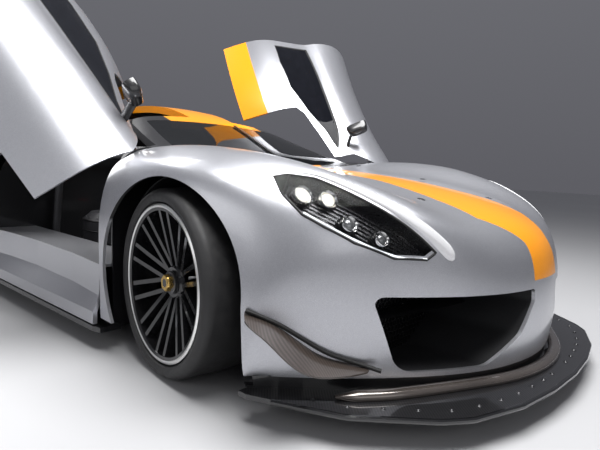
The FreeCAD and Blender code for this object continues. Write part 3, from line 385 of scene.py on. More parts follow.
def brake_finish(key):
    """Machined disc with rows of drilled holes that swirl outwards, the holes painted near-black as painted
    shade.
    """
    n = surface("brake_iron_" + key)
    radius, angle, _ = wheel_polar(n, key)
    row = n.math("FRACT", radius * 45.0) - 0.5
    spot = n.math("FRACT", angle * (36 / (2 * math.pi)) + radius * 40.0) - 0.5
    hole = n.ramp(n.root(row * row + spot * spot), 0.16, 0.13) * n.ramp(radius, 0.105, 0.106)
    heat = n.noise(30.0)
    colour = n.mix(heat, (0.16, 0.155, 0.15), (0.26, 0.25, 0.24))
    # The holes are painted near-black as painted shade inside the bores.
    return n.set(Base_Color=n.mix(hole, colour, (0.01, 0.01, 0.01)), Metallic=0.9,
                 Roughness=n.ramp(heat, 0.2, 0.8, 0.28, 0.42),
                 Normal=n.bump(n.sine(radius * 5200.0) * 0.2 - hole, 0.3, 0.0008))


class Shape:
    """Collects the corners and faces of one new piece."""

    def __init__(self):
        self.corners = []
        self.faces = []

    def grid(self, rows, around=False, along=False, caps=False):
        """A surface between rows of points. around closes each row, along joins the last row to the first."""
        start, wide = len(self.corners), len(rows[0])
        for row in rows:
            self.corners.extend(Vector(p) for p in row)
        for i in range(len(rows) if along else len(rows) - 1):
            here = start + i * wide
            there = start + (i + 1) % len(rows) * wide
            for j in range(wide if around else wide - 1):
                k = (j + 1) % wide
                self.faces.append((here + j, here + k, there + k, there + j))
        if caps:
            last = start + (len(rows) - 1) * wide
            self.faces.append(tuple(range(start + wide - 1, start - 1, -1)))
            self.faces.append(tuple(range(last, last + wide)))
        return self

    def shell(self, upper, lower):
        """A closed body between two sheets of equally many points."""
        rows = [top + list(reversed(low)) for top, low in zip(upper, lower)]
        return self.grid(rows, around=True, caps=True)

    def tube(self, path, radius, sides=8, closed=False, flat=1.0, normals=None):
        """A bar along a path, round or flattened towards the given normals."""
        path = [Vector(p) for p in path]
        count = len(path)
        rows = []
        up = None
        for i, place in enumerate(path):
            before = path[i - 1] if i or closed else place
            after = path[(i + 1) % count] if i < count - 1 or closed else place
            ahead = (after - before).normalized()
            guide = Vector(normals[i]) if normals else (up if up else ahead.orthogonal())
            up = (guide - ahead * guide.dot(ahead)).normalized()
            side = ahead.cross(up)
            size = radius[i] if isinstance(radius, list) else radius
            turns = [2 * math.pi * (j + 0.5) / sides for j in range(sides)]
            rows.append([place + side * (math.cos(t) * size) + up * (math.sin(t) * size * flat)
                         for t in turns])
        return self.grid(rows, around=True, along=closed, caps=not closed)

    def lathe(self, place, axis, profile, steps=24, lobes=0, depth=0.0):
        """A turned part from (distance along the axis, radius) pairs, with lobes round its rim if asked."""
        axis = Vector(axis).normalized()
        waves = [1 + depth * math.cos(2 * math.pi * j / steps * lobes) for j in range(steps)]
        rows = []
        for along, radius in profile:
            middle = Vector(place) + axis * along
            rows.append([middle + spoke * (radius * wave) for spoke, wave in zip(spokes(axis, steps), waves)])
        return self.grid(rows, around=True, caps=True)

    def ring(self, centre, axis, radius, thick, steps=48):
        """A round wire bent to a circle."""
        path = [Vector(centre) + spoke * radius for spoke in spokes(axis, steps)]
        return self.tube(path, thick, 8, closed=True, normals=[axis] * steps)

    def block(self, place, one, two, three, bevel=0.12):
        """A small block about its middle with cut corners, from its three half-size vectors."""
        place, one, two, three = (Vector(v) for v in (place, one, two, three))
        rows = []
        for up, grow in ((-1, 1 - bevel), (-1 + 2 * bevel, 1), (1 - 2 * bevel, 1), (1, 1 - bevel)):
            corners = [(1, 1 - bevel), (1 - bevel, 1), (bevel - 1, 1), (-1, 1 - bevel),
                       (-1, bevel - 1), (bevel - 1, -1), (1 - bevel, -1), (1, bevel - 1)]
            rows.append([place + three * up + (one * a + two * b) * grow for a, b in corners])
        return self.grid(rows, around=True, caps=True)

    def box(self, place, x, y, z, bevel=0.12):
        """A block along the car's own directions."""
        return self.block(place, (x, 0, 0), (0, y, 0), (0, 0, z), bevel)

    def screw(self, place, normal, radius):
        """A round head with a hexagonal recess, on a washer."""
        self.lathe(place, normal, [(-0.001, radius * 1.45), (0.0006, radius * 1.45), (0.0010, radius * 1.35),
                                   (0.0010, radius), (0.0032, radius * 0.94), (0.0042, radius * 0.72),
                                   (0.0042, radius * 0.46)], 16)
        return self.lathe(place, normal, [(0.0040, radius * 0.50), (0.0044, radius * 0.50),
                                          (0.0044, radius * 0.44), (0.0024, radius * 0.40)], 6)

    def turned(self, matrix):
        self.corners = [matrix @ corner for corner in self.corners]
        return self

    def make(self, name, look, slot, body="chassis", sharp=35.0):
        """The finished piece, in one of LOOKS, on a body. Edges sharper than the angle stay sharp."""
        mesh = bpy.data.meshes.new(name)
        mesh.from_pydata(self.corners, [], self.faces)
        work = bmesh.new()
        work.from_mesh(mesh)
        bmesh.ops.recalc_face_normals(work, faces=work.faces)
        work.to_mesh(mesh)
        work.free()
        mesh.polygons.foreach_set("use_smooth", [True] * len(mesh.polygons))
        mesh.set_sharp_from_angle(angle=math.radians(sharp))
        mesh.materials.append(LOOKS[look])
        piece = bpy.data.objects.new(name, mesh)
        bpy.context.scene.collection.objects.link(piece)
        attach(piece, body)
        return piece


def spokes(axis, count):
    """Directions evenly spread round an axis."""
    axis = Vector(axis).normalized()
    side = axis.orthogonal().normalized()
    other = axis.cross(side)
    turns = [2 * math.pi * i / count for i in range(count)]
    return [side * math.cos(t) + other * math.sin(t) for t in turns]


def skin(*names):
    """A function that finds the first place on these parts that a ray meets, and the way it looks there."""
    meshes = [NODES[name].data for name in names]
    trees = [BVHTree.FromPolygons([v.co for v in mesh.vertices], [p.vertices[:] for p in mesh.polygons])
             for mesh in meshes]

    def cast(start, direction):
        direction = Vector(direction).normalized()
        hits = [tree.ray_cast(Vector(start), direction) for tree in trees]
        hits = [hit for hit in hits if hit[0] is not None]
        if not hits:
            return None
        place, normal, _, _ = min(hits, key=lambda hit: hit[3])
        return place, normal if normal.dot(direction) < 0 else -normal
    return cast


def below(cast, x, y):
    """The skin straight below a place."""
    return cast((x, y, 1.6), (0, 0, -1))


def curve_at(a, b, c, d, t):
    """A place on the smooth curve from b to c, with a before and d after them."""
    bend, twist = a * 2 - b * 5 + c * 4 - d, b * 3 - a - c * 3 + d
    return 0.5 * (b * 2 + (c - a) * t + bend * t ** 2 + twist * t ** 3)


def smoothed(points, steps=6):
    """A smooth line through points."""
    points = [Vector(p) for p in points]
    ends = [points[0] * 2 - points[1]] + points + [points[-1] * 2 - points[-2]]
    spans = zip(ends, ends[1:], ends[2:], ends[3:])
    line = [curve_at(*four, k / steps) for four in spans for k in range(steps)]
    return line + [points[-1]]


def on_car(x, y, z, hand=1):
    """A place in mm, x from the front axle, on the left or right half of the car."""
    return Vector((FRONT_AXLE + x / 1000, hand * y / 1000, z / 1000))


def within(point, outline):
    """Whether a point (a, b) lies in a closed outline."""
    a, b = point
    found = False
    for (a1, b1), (a2, b2) in zip(outline, outline[1:] + outline[:1]):
        if (b1 > b) != (b2 > b) and a < (a2 - a1) * (b - b1) / (b2 - b1) + a1:
            found = not found
    return found


def honeycomb(shape, outline, cell, wire, deep, lay):
    """Six-sided cells over an outline of (a, b). lay(a, b, back) gives the place on the surface."""
    lows = [min(p[i] for p in outline) for i in (0, 1)]
    highs = [max(p[i] for p in outline) for i in (0, 1)]
    pitch = cell * math.sqrt(3) / 2
    hole, joint = cell / math.sqrt(3) - wire / 2, cell / math.sqrt(3) + wire * 0.02
    turns = [math.radians(60 * k + 30) for k in range(6)]
    for row in range(int((highs[1] - lows[1]) / pitch) + 2):
        for column in range(int((highs[0] - lows[0]) / cell) + 2):
            a = lows[0] + (column + 0.5 * (row % 2)) * cell
            b = lows[1] + row * pitch
            if within((a, b), outline):
                rings = [[lay(a + math.cos(t) * size, b + math.sin(t) * size, back) for t in turns]
                         for size, back in ((hole, deep), (hole, 0.0), (joint, 0.0), (joint, deep))]
                if all(p is not None for ring in rings for p in ring):
                    shape.grid(rings, around=True)


def dress(material, *names):
    for name in names:
        slots = NODES[name].data.materials
        slots.clear()
        slots.append(material)


def dress_frame():
    """Gives every part that stays in sight its finish."""
    dress(paint("silver_paint"), "front_clam", "rear_clam", "side_sills", "engine_hatch")
    dress(paint("black_lacquer", ground="black"), "roof_frame")
    for side, _ in SIDES:
        dress(paint("silver_paint_door_" + side, side), "door_" + side)
    dress(LOOKS["carbon"], "splitter", "side_skirts", "diffuser", "rear_wing", "wing_pylons", "tub",
          "dashboard")
    dress(LOOKS["warm_carbon"], "canards")
    dress(plain("duct_black", (0.016, 0.016, 0.018), 0.6), "wheel_wells", "front_ducts")
    dress(glass("windscreen_glass", (0.004, 0.0045, 0.005), 0.42, 0.92, 0.3), "windscreen")
    dress(glass("door_glass", (0.006, 0.0065, 0.009), 0.16, 0.95, 0.12), "door_window_left",
          "door_window_right")
    dress(glass("lamp_cover", (0.010, 0.010, 0.011), 0.96, 0.30), "headlamp_lenses")
    dress(plain("lamp_housing", (0.012, 0.012, 0.014), 0.30, coat=0.5), "headlamp_units")
    dress(plain("red_lens", (0.40, 0.006, 0.005), 0.12, coat=1.0), "tail_lamps")
    dress(LOOKS["black_trim"], "wiper")
    dress(LOOKS["cast_alloy"], "engine", "upright_fl", "upright_fr", "uprights_rear", "radiators")
    dress(plain("store_case", (0.05, 0.05, 0.055), 0.4), "energy_store")
    dress(plain("steel_tube", (0.05, 0.05, 0.055), 0.4, 0.2), "wishbones", "rear_frame", "roll_hoop")
    dress(plain("exhaust_steel", (0.45, 0.40, 0.36), 0.3, 1.0, other=(0.30, 0.22, 0.20)), "exhausts")
    dress(LOOKS["suede"], "steering_wheel")
    for key in WHEELS:
        dress(rubber(key), "tyre_" + key)
        dress(rim_finish(key), "rim_" + key)
        dress(brake_finish(key), "brake_disc_" + key)


# The lamp's upper inner edge and lower outer edge from the rear to the tip, in mm from the front axle
LAMP_UPPER = [(353, 752, 717), (414, 705, 710), (533, 657, 666), (656, 597, 601), (705, 562, 561),
              (744, 525, 516)]
LAMP_LOWER = [(384, 813, 659), (453, 799, 607), (513, 766, 575), (585, 716, 537), (668, 631, 498),
              (730, 550, 496)]
LAMP_LOOKS = Vector((0.45, 0.45, 0.77)).normalized()
# Place and radius of the projectors in mm, the two lit ones and the two others, and which way they look
PROJECTORS_LIT = [(398, 740, 652, 31), (456, 688, 642, 31)]
PROJECTORS_LOW = [(542, 690, 575, 27), (621, 636, 538, 24)]
PROJECTOR_LOOKS = Vector((0.8, 0.2, 0.56))
# How far below the cover the fins and the light guide lie
FINS_BELOW = 0.046
GUIDE_BELOW = 0.013
# The crest: its gap to the lamp, its width, how far it runs on past the lamp's tip, and its height
CREST_GAP = 0.009
CREST_WIDE = 0.040
CREST_TIP = 0.062
CREST_HEIGHT = 0.009


def crest_rows(clam, upper, looks, hand):
    """The crest's upper face: rows across it, laid on the skin beside the lamp."""
    ahead = (upper[-1] - upper[-3]).normalized()
    line = smoothed(upper + [upper[-1] + ahead * CREST_TIP], 8)
    rows = []
    for i, spot in enumerate(line):
        share = i / (len(line) - 1)
        along = line[min(i + 1, len(line) - 1)] - line[max(i - 1, 0)]
        beside = looks.cross(along).normalized() * -hand
        rounded = math.sqrt(max(0.0, 1 - max(0.0, (share - 0.90) / 0.10) ** 2))
        wide = max(0.002, CREST_WIDE * min(1.0, 0.15 + share * 2.6) * rounded)
        middle = CREST_GAP + (wide if share < 0.5 else CREST_WIDE) * 0.5
        row = []
        for across in (k / 8 for k in range(9)):
            place, normal = clam(spot + beside * (middle + wide * (across - 0.5)) + looks * 0.2, -looks)
            height = CREST_HEIGHT * math.sin(math.pi * across) ** 0.55 - 0.0012
            row.append(place + normal * height * min(1.0, wide / 0.03))
        rows.append(row)
    return rows


def lamps():
    """What stands in each headlamp and round it."""
    clam = skin("front_clam", "headlamp_lenses")
    for side, hand in SIDES:
        looks, face = (way * Vector((1, hand, 1)) for way in (LAMP_LOOKS, PROJECTOR_LOOKS))
        upper, lower = ([on_car(*p, hand) for p in edge] for edge in (LAMP_UPPER, LAMP_LOWER))

        def rung(share, deep):
            """A line from the rear to the tip, a share of the way up from the lower edge."""
            return [low + (high - low) * share - looks * deep for low, high in zip(lower, upper)]

        edge = []
        outline = upper + list(reversed(lower))
        for a, b in zip(outline, outline[1:] + outline[:1]):
            for k in range(6):
                edge.append(clam(a + (b - a) * (k / 6) + looks * 0.2, -looks)[0] - looks * 0.0005)
        Shape().tube(edge, 0.0042, closed=True).make("lamp_gasket_" + side, "seal", "black_trim")

        bezels, bulbs, lows = Shape(), Shape(), Shape()
        for lamp, glasses in ((bulbs, PROJECTORS_LIT), (lows, PROJECTORS_LOW)):
            for x, y, z, radius in glasses:
                centre, r = on_car(x, y, z, hand), radius / 1000
                bezels.lathe(centre, face, [(-0.004, r * 0.74), (-0.004, r * 1.02), (0.006, r * 1.04),
                                            (0.009, r * 0.98), (0.006, r * 0.90), (0.001, r * 0.76)], 32)
                lamp.lathe(centre, face, [(0.0005 + r * 0.42 * math.sin(t), r * 0.72 * math.cos(t))
                                          for t in (0, 0.35, 0.7, 1.05, 1.35, 1.55)], 32)
        bezels.make("lamp_bezels_" + side, "chrome", "cast_alloy")
        bulbs.make("lamp_bulbs_" + side, "lit_cream", "clear_glass")
        lows.make("lamp_low_bulbs_" + side, "lamp_glass", "clear_glass")

        fins = Shape()
        for i in range(9):
            line = smoothed(rung(0.10 + 0.095 * i, FINS_BELOW), 4)
            fins.tube(line, 0.006, 6, flat=0.35, normals=[looks] * len(line))
        fins.make("lamp_fins_" + side, "satin_grey", "black_trim")

        line = smoothed(rung(0.085, GUIDE_BELOW)[1:], 6)
        guide = Shape().tube(line, 0.0042, 8, flat=0.6, normals=[looks] * len(line))
        guide.make("lamp_light_guide_" + side, "lit_white", "clear_glass")

        rows = crest_rows(clam, upper, looks, hand)
        crest = Shape().shell(rows, [[p - looks * 0.004 for p in row] for row in rows])
        # The raised crest strip is painted near-white as a painted highlight along the lamp.
        crest.make("lamp_highlight_crest_" + side, "crest_painted_highlight", "silver_paint", sharp=50)


# The splitter's lip: places along it, and how far it runs to each side as an angle
LIP_STEPS = 96
LIP_SWEEP = 76
# Bead at the foot of the nose, its colour lightened as a painted highlight, as (x from the front axle, y) in
# mm
BEAD = [(600, 788), (640, 737), (694, 665), (735, 590), (785, 490), (835, 385), (880, 282), (912, 180),
        (930, 70), (933, 0)]
# Line where a nose blade meets the skin, as (x from the front axle, y, z) in mm
BLADE_FOOT = [(672, 668, 163), (622, 697, 175), (580, 733, 190), (541, 774, 211), (492, 820, 248),
              (445, 866, 285), (402, 905, 308), (372, 932, 323)]
# One intake as (y, z), how far ahead of the axle its mesh stands, and its vane's places across, section as
# (back, up) and height, all in metres
INTAKE = [(0.676, 0.374), (0.596, 0.142), (0.322, 0.142), (0.182, 0.226), (0.116, 0.330), (0.116, 0.374)]
MESH_AHEAD = 0.560
VANE_STATIONS = (0.119, 0.25, 0.40, 0.55, 0.655)
VANE_SECTION = [(0.0, 0.0), (0.012, 0.006), (0.055, 0.008), (0.110, 0.002), (0.055, -0.002), (0.012, -0.005)]
VANE_HEIGHT = 0.286


def nose():
    """Splitter edge and bead, blade seams, intake meshes and vanes."""
    plate = skin("splitter")
    rim = []
    middle = Vector((FRONT_AXLE + 0.25, 0, SPLITTER_TOP - 0.0078))
    for i in range(LIP_STEPS + 1):
        turn = math.radians(LIP_SWEEP * (2 * i / LIP_STEPS - 1))
        out = Vector((math.cos(turn), math.sin(turn), 0))
        rim.append(plate(middle + out * 1.6, -out)[0] - out * 0.002)
    Shape().tube(rim, 0.0088, 10).make("splitter_lip", "black_gloss", "carbon")

    line = smoothed([on_car(x, y, SPLITTER_TOP * 1000 + 8) for x, y in BEAD], 4)
    line += [p * Vector((1, -1, 1)) for p in reversed(line[:-1])]
    sizes = [0.023 * min(1.0, 0.25 + 0.2 * min(i, len(line) - 1 - i)) for i in range(len(line))]
    bead = Shape().tube(line, sizes, 14, flat=0.75, normals=[(0, 0, 1)] * len(line))
    bead.make("splitter_bead", "bead_painted_highlight", "carbon")

    bolts = Shape()
    for _, hand in SIDES:
        for i in range(11):
            spot = rim[LIP_STEPS // 2 + hand * (4 + 4 * i)]
            inward = (middle - spot).normalized() * 0.045
            hit = plate((spot.x + inward.x, spot.y + inward.y, 0.3), (0, 0, -1))
            if hit and abs(hit[0].z - SPLITTER_TOP) < 0.004:
                bolts.screw(*hit, 0.0052)
    bolts.make("splitter_screws", "steel", "steel_tube")

    for side, hand in SIDES:
        seam = Shape().tube(smoothed([on_car(*p, hand) for p in BLADE_FOOT], 4), 0.0065, 8)
        seam.make("blade_seam_" + side, "seal", "black_trim")

        mesh = Shape()
        honeycomb(mesh, INTAKE, 0.021, 0.0042, 0.006,
                  lambda y, z, back: Vector((FRONT_AXLE + MESH_AHEAD - back, hand * y, z)))
        mesh.make("intake_mesh_" + side, "mesh", "black_trim")

        rows = [[Vector((FRONT_AXLE + 0.69 - 0.09 * (y / 0.6) ** 2 - back, hand * y, VANE_HEIGHT + up))
                 for back, up in VANE_SECTION] for y in VANE_STATIONS]
        Shape().grid(rows, around=True, caps=True).make("intake_vane_" + side, "carbon", "carbon", sharp=50)


# Profiles of the centre nut, the ring under it and a tyre valve, as (distance out, radius). The nut's foot
# lies inside the tyre's outer face. The valve's foot lies inside the rim's face and flange, some degrees up
# from straight ahead.
NUT = [(0.012, 0.0265), (0.016, 0.0285), (0.030, 0.0270), (0.034, 0.0245), (0.034, 0.015), (0.0305, 0.013),
       (0.0305, 0.0005)]
HUB_RING = [(0.008, 0.040), (0.0135, 0.040), (0.0145, 0.038), (0.0145, 0.030)]
VALVE = [(-0.004, 0.006), (0.004, 0.006), (0.006, 0.004), (0.022, 0.004), (0.024, 0.0045), (0.032, 0.0045),
         (0.034, 0.003)]
NUT_INSET = 0.060
VALVE_INSET = (0.022, 0.026)
VALVE_TURN = 16


def wheels():
    """Centre nuts, hub rings with screws, and valves."""
    for key in WHEELS:
        ahead, out, up = wheel_frame(key)
        rim_half, flange = wheel_size(key, "rim")
        hub = CENTRES[key] + out * (wheel_size(key, "tyre")[0] - NUT_INSET)

        def spoke(degrees):
            turn = math.radians(degrees)
            return ahead * math.cos(turn) + up * math.sin(turn)

        body = "wheel_" + key
        Shape().lathe(hub, out, NUT, 48, 6, 0.06).make("wheel_nut_" + key, "gold", "wheel_alloy", body)
        washer = Shape().lathe(hub, out, HUB_RING, 40)
        for i in range(6):
            washer.screw(hub + spoke(60 * i + 30) * 0.050 + out * -0.001, out, 0.0042)
        washer.make("hub_ring_" + key, "steel", "wheel_alloy", body)
        inward = -spoke(VALVE_TURN)
        foot = CENTRES[key] + out * (rim_half - VALVE_INSET[0]) - inward * (flange - VALVE_INSET[1])
        valve = Shape().lathe(foot, out * 0.8 + inward * 0.6, VALVE, 12)
        valve.make("valve_" + key, "steel", "wheel_alloy", body)


# The seat's line from the thighs to the head, in mm, as (x from the front axle, height, height of its sides)
SEAT_LINE = [(-1012, 284, 60), (-1110, 254, 84), (-1215, 236, 104), (-1300, 240, 122), (-1358, 298, 120),
             (-1394, 420, 104), (-1428, 560, 92), (-1462, 700, 96), (-1494, 838, 84)]
SEAT_HALF = 0.196
# Which share of the half-width is flat, before the sides rise
SEAT_FLAT = 0.66
SHELL_THICK = 0.011
# Pads as (name, from and to along the seat, from and to across it, thickness, sewn channels)
SEAT_PADS = [("base", 0.03, 0.35, -0.60, 0.60, 0.030, 4), ("back", 0.47, 0.80, -0.60, 0.60, 0.026, 4),
             ("head", 0.87, 0.985, -0.50, 0.50, 0.032, 0), ("thigh_left", 0.06, 0.34, 0.72, 0.97, 0.016, 0),
             ("rib_left", 0.50, 0.76, 0.72, 0.97, 0.018, 0),
             ("thigh_right", 0.06, 0.34, -0.97, -0.72, 0.016, 0),
             ("rib_right", 0.50, 0.76, -0.97, -0.72, 0.018, 0)]
# Belts of one side as (along, across, lift) on the seat, with half their width: shoulder, lap and crotch
BELTS = [([(1.0, 0.26, 0.010), (0.93, 0.27, 0.044), (0.80, 0.27, 0.036), (0.62, 0.24, 0.034),
           (0.50, 0.19, 0.034), (0.42, 0.12, 0.046), (0.33, 0.04, 0.047)], 0.024),
         ([(0.40, 0.98, 0.010), (0.36, 0.70, 0.020), (0.31, 0.40, 0.038), (0.290, 0.09, 0.046)], 0.022),
         ([(0.045, 0.04, 0.034), (0.12, 0.05, 0.036), (0.20, 0.04, 0.038), (0.27, 0.02, 0.046)], 0.014)]
BUCKLE = [(-0.002, 0.034), (0.006, 0.034), (0.010, 0.030), (0.010, 0.016), (0.016, 0.014), (0.016, 0.0005)]
BUCKLE_ALONG = 0.285
# Side brackets: how far from the seat's middle, and where their uprights stand from the front axle
BRACKET_Y = 0.150
BRACKET_X = (-1.10, -1.36)


def seat_place(u, v, lift):
    """A place lifted off the seat's shell: u from the thighs (0) to the head (1), v across (-1 to 1)."""
    last = len(SEAT_LINE) - 1
    i = min(int(u * last), last - 1)
    t = u * last - i
    a, b, c, d = (Vector(SEAT_LINE[max(0, min(k, last))]) for k in (i - 1, i, i + 1, i + 2))
    here = curve_at(a, b, c, d, t)
    along = 0.5 * ((c - a) + (a * 2 - b * 5 + c * 4 - d) * 2 * t + (b * 3 - a - c * 3 + d) * 3 * t ** 2)
    normal = Vector((along.y, 0, -along.x)).normalized()
    hand = 1 if v >= 0 else -1
    beside = max(0.0, (abs(v) - SEAT_FLAT) / (1 - SEAT_FLAT))
    flat = min(1.0, abs(v) / SEAT_FLAT)
    across = SEAT_HALF * (0.88 * flat + 0.12 * math.sin(beside * math.pi / 2))
    rise = 0.018 * flat ** 2 + here.z / 1000 * beside ** 1.15
    lean = math.radians(76) * min(1.0, beside * 2.2)
    out = normal * math.cos(lean) - Vector((0, hand, 0)) * math.sin(lean)
    foot = Vector((FRONT_AXLE + here.x / 1000, SEAT_Y + hand * across, here.y / 1000))
    return foot + normal * rise + out * lift


def cushion(name, u0, u1, v0, v1, thick, channels):
    """A crowned pad with rounded edges and sewn channels, on the seat's shell."""
    tops, unders = [], []
    along, over = 22, 8 * max(channels, 2)
    for i in range(along + 1):
        top, under = [], []
        for j in range(over + 1):
            s, t = i / along, j / over
            edge = ((1 - abs(2 * s - 1) ** 7) * (1 - abs(2 * t - 1) ** 7)) ** 0.5
            groove = abs(math.sin(math.pi * t * channels)) ** 0.35 if channels else 1.0
            pull = 0.012 * (1 - edge)
            u = u0 + (u1 - u0) * s + (pull if s < 0.5 else -pull)
            v = v0 + (v1 - v0) * t
            top.append(seat_place(u, v, 0.002 + thick * edge * (0.62 + 0.38 * groove)))
            under.append(seat_place(u, v, 0.001))
        tops.append(top)
        unders.append(under)
    piece = Shape().shell(tops, unders).make("seat_pad_" + name, "seat_cloth", "cloth", sharp=60)


def seat():
    """Moulded shell with pads, belts and side brackets, in place of the plain seat."""
    inner = [[seat_place(i / 40, -1 + 2 * j / 32, 0.0) for j in range(33)] for i in range(41)]
    outer = [[seat_place(i / 40, -1 + 2 * j / 32, -SHELL_THICK) for j in range(33)] for i in range(41)]
    shell = Shape().shell(inner, outer)
    for hand in (-1, 1):
        y = SEAT_Y + hand * BRACKET_Y
        for x in BRACKET_X:
            shell.box((FRONT_AXLE + x, y, 0.165), 0.016, 0.004, 0.070)
        shell.box((FRONT_AXLE - 1.23, y, 0.101), 0.19, 0.018, 0.006)
    made = shell.make("seat_shell", "carbon", "cloth", sharp=50)
    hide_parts("seat")
    for pad in SEAT_PADS:
        cushion(*pad)

    belts = Shape()
    for places, half in BELTS:
        for hand in (-1, 1):
            line = smoothed([(u, hand * v, lift) for u, v, lift in places], 6)
            path = [seat_place(*p) for p in line]
            ups = [seat_place(p.x, p.y, p.z + 0.01) - q for p, q in zip(line, path)]
            belts.tube(path, half, 8, flat=0.07, normals=ups)
    belts.make("harness_straps", "webbing", "cloth", sharp=60)

    middle, above = (seat_place(BUCKLE_ALONG, 0.0, lift) for lift in (0.046, 0.056))
    metal = Shape().lathe(middle, above - middle, BUCKLE, 32)
    for hand in (-1, 1):
        spot, ahead = (seat_place(u, hand * 0.255, 0.040) for u in (0.66, 0.70))
        ahead = (ahead - spot).normalized()
        metal.block(spot, ahead * 0.016, (0, 0.029, 0), ahead.cross(Vector((0, 1, 0))) * 0.003)
    metal.make("harness_buckle", "steel", "steel_tube")


# The steering wheel: its middle ahead of the front axle and up, its tilt, and how far its hub and its spokes
# stand towards the driver
HELM = (-0.830, 0.690)
HELM_TILT = math.radians(16)
HUB_FACE = 0.022
SPOKE_FACE = 0.0125
# Line of the left grip, and the buttons by their look, as (y, z)
GRIP = [(0.098, 0.064), (0.124, 0.061), (0.139, 0.038), (0.143, 0.0), (0.140, -0.038), (0.124, -0.070),
        (0.098, -0.078)]
BUTTONS = {"red": [(0.054, 0.034)], "button": [(-0.054, 0.034)],
           "steel": [(0.056, 0.012), (-0.056, 0.012), (0.056, -0.010), (-0.056, -0.010), (0.050, -0.034),
                     (-0.050, -0.034)]}
BUTTON = [(0, 0.0075), (0.003, 0.0075), (0.0045, 0.006), (0.0045, 0.0005)]


def helm():
    """Grips, plate, display, buttons and paddles of the steering wheel."""
    place = Matrix.Translation((FRONT_AXLE + HELM[0], SEAT_Y, HELM[1])) @ Matrix.Rotation(HELM_TILT, 4, "Y")
    grips, plate, display, paddles = Shape(), Shape(), Shape(), Shape()
    for hand in (-1, 1):
        line = smoothed([(0, hand * y, z) for y, z in GRIP], 4)
        grips.tube(line, [0.0165 - 0.002 * math.cos(i * 0.9) for i in range(len(line))], 12)
        paddles.block((0.022, hand * 0.078, 0.020), (0, 0.030, 0), (0, 0, 0.016), (0.0016, 0, 0), 0.3)
    plate.block((-HUB_FACE - 0.004, 0, 0.002), (0, 0.044, 0), (0, 0, 0.034), (0.004, 0, 0), 0.16)
    display.block((-HUB_FACE - 0.0092, 0, 0.006), (0, 0.036, 0), (0, 0, 0.022), (0.0015, 0, 0), 0.12)
    grips.turned(place).make("wheel_grips", "suede", "cloth", sharp=60)
    plate.turned(place).make("helm_plate", "carbon", "carbon")
    display.turned(place).make("helm_display", "screen", "black_trim")
    for look, places in BUTTONS.items():
        caps = Shape()
        for y, z in places:
            caps.lathe((-SPOKE_FACE, y, z), (-1, 0, 0), BUTTON, 16)
        caps.turned(place).make("helm_buttons_" + look, look, "black_trim")
    paddles.turned(place).make("helm_paddles", "carbon", "carbon")


# The instrument pod ahead of the front axle and up, the console's top, and profiles of a toggle and a knob as
# (height, radius)
POD = (-0.664, 0.728)
CONSOLE_TOP = 0.400
TOGGLE = [(0, 0.0062), (0.004, 0.0058), (0.005, 0.0024), (0.019, 0.0032), (0.021, 0.0022)]
KNOB = [(0, 0.019), (0.004, 0.018), (0.005, 0.0125), (0.018, 0.011), (0.020, 0.009)]
# Places across the footwell of the brake and the throttle, from the seat's middle
PEDALS = (-0.085, 0.075)


def cockpit():
    """Instrument pod, switch panel and pedals."""
    pod, face = Shape(), Shape()
    middle = Vector((FRONT_AXLE + POD[0], SEAT_Y, POD[1]))
    pod.block(middle, (0, 0.094, 0), (0.004, 0, 0.034), (0.012, 0, 0), 0.2)
    face.block(middle - Vector((0.013, 0, 0)), (0, 0.084, 0), (0.003, 0, 0.026), (0.0018, 0, 0), 0.2)
    pod.make("dash_pod", "black_trim", "black_trim")
    face.make("dash_display", "screen", "black_trim")

    panel, toggles, knobs = Shape(), Shape(), Shape()
    foot = CONSOLE_TOP + 0.004
    panel.box((FRONT_AXLE - 0.86, 0, CONSOLE_TOP + 0.002), 0.135, 0.072, 0.003, 0.06)
    for i in range(6):
        for y in (0.002, 0.036):
            toggles.lathe((FRONT_AXLE - 0.76 - 0.032 * i, y, foot), (0.25, 0, 1), TOGGLE, 12)
    for i in range(3):
        knobs.lathe((FRONT_AXLE - 0.775 - 0.060 * i, -0.040, foot), (0, 0, 1), KNOB, 32, 10, 0.03)
    panel.make("switch_panel", "carbon", "carbon")
    toggles.make("switch_toggles", "steel", "steel_tube")
    knobs.make("switch_knobs", "red", "black_trim")

    pedals = Shape()
    for y in PEDALS:
        foot, head = (Vector((FRONT_AXLE - x, SEAT_Y + y, z)) for x, z in ((0.475, 0.10), (0.505, 0.275)))
        pedals.tube([foot, (foot + head) / 2 + Vector((0.012, 0, 0)), head], [0.011, 0.009, 0.008], 8)
        pedals.block(head, (0, 0.036, 0), (0.012, 0, 0.046), (-0.004, 0, 0.001), 0.2)
        for k in range(-2, 3):
            pedals.block(head + Vector((-0.004 + 0.005 * k, 0, 0.017 * k)), (0, 0.030, 0), (0.001, 0, 0.003),
                         (-0.003, 0, 0), 0.2)
    pedals.box((FRONT_AXLE - 0.50, SEAT_Y, 0.099), 0.060, 0.150, 0.005)
    pedals.make("pedals", "cast_alloy", "cast_alloy")


# Ribs round the energy store as (height above its foot, radius, half thickness), and its ring of studs
STORE_RIBS = [(0.06, 0.1905, 0.0045), (0.12, 0.1905, 0.0045), (0.18, 0.1905, 0.0045), (0.24, 0.1905, 0.0045),
              (0.298, 0.190, 0.0065)]
STORE_STUDS = (0.3135, 0.176)
STORE_CAP = [(0, 0.060), (0.006, 0.058), (0.010, 0.040), (0.010, 0.0005)]


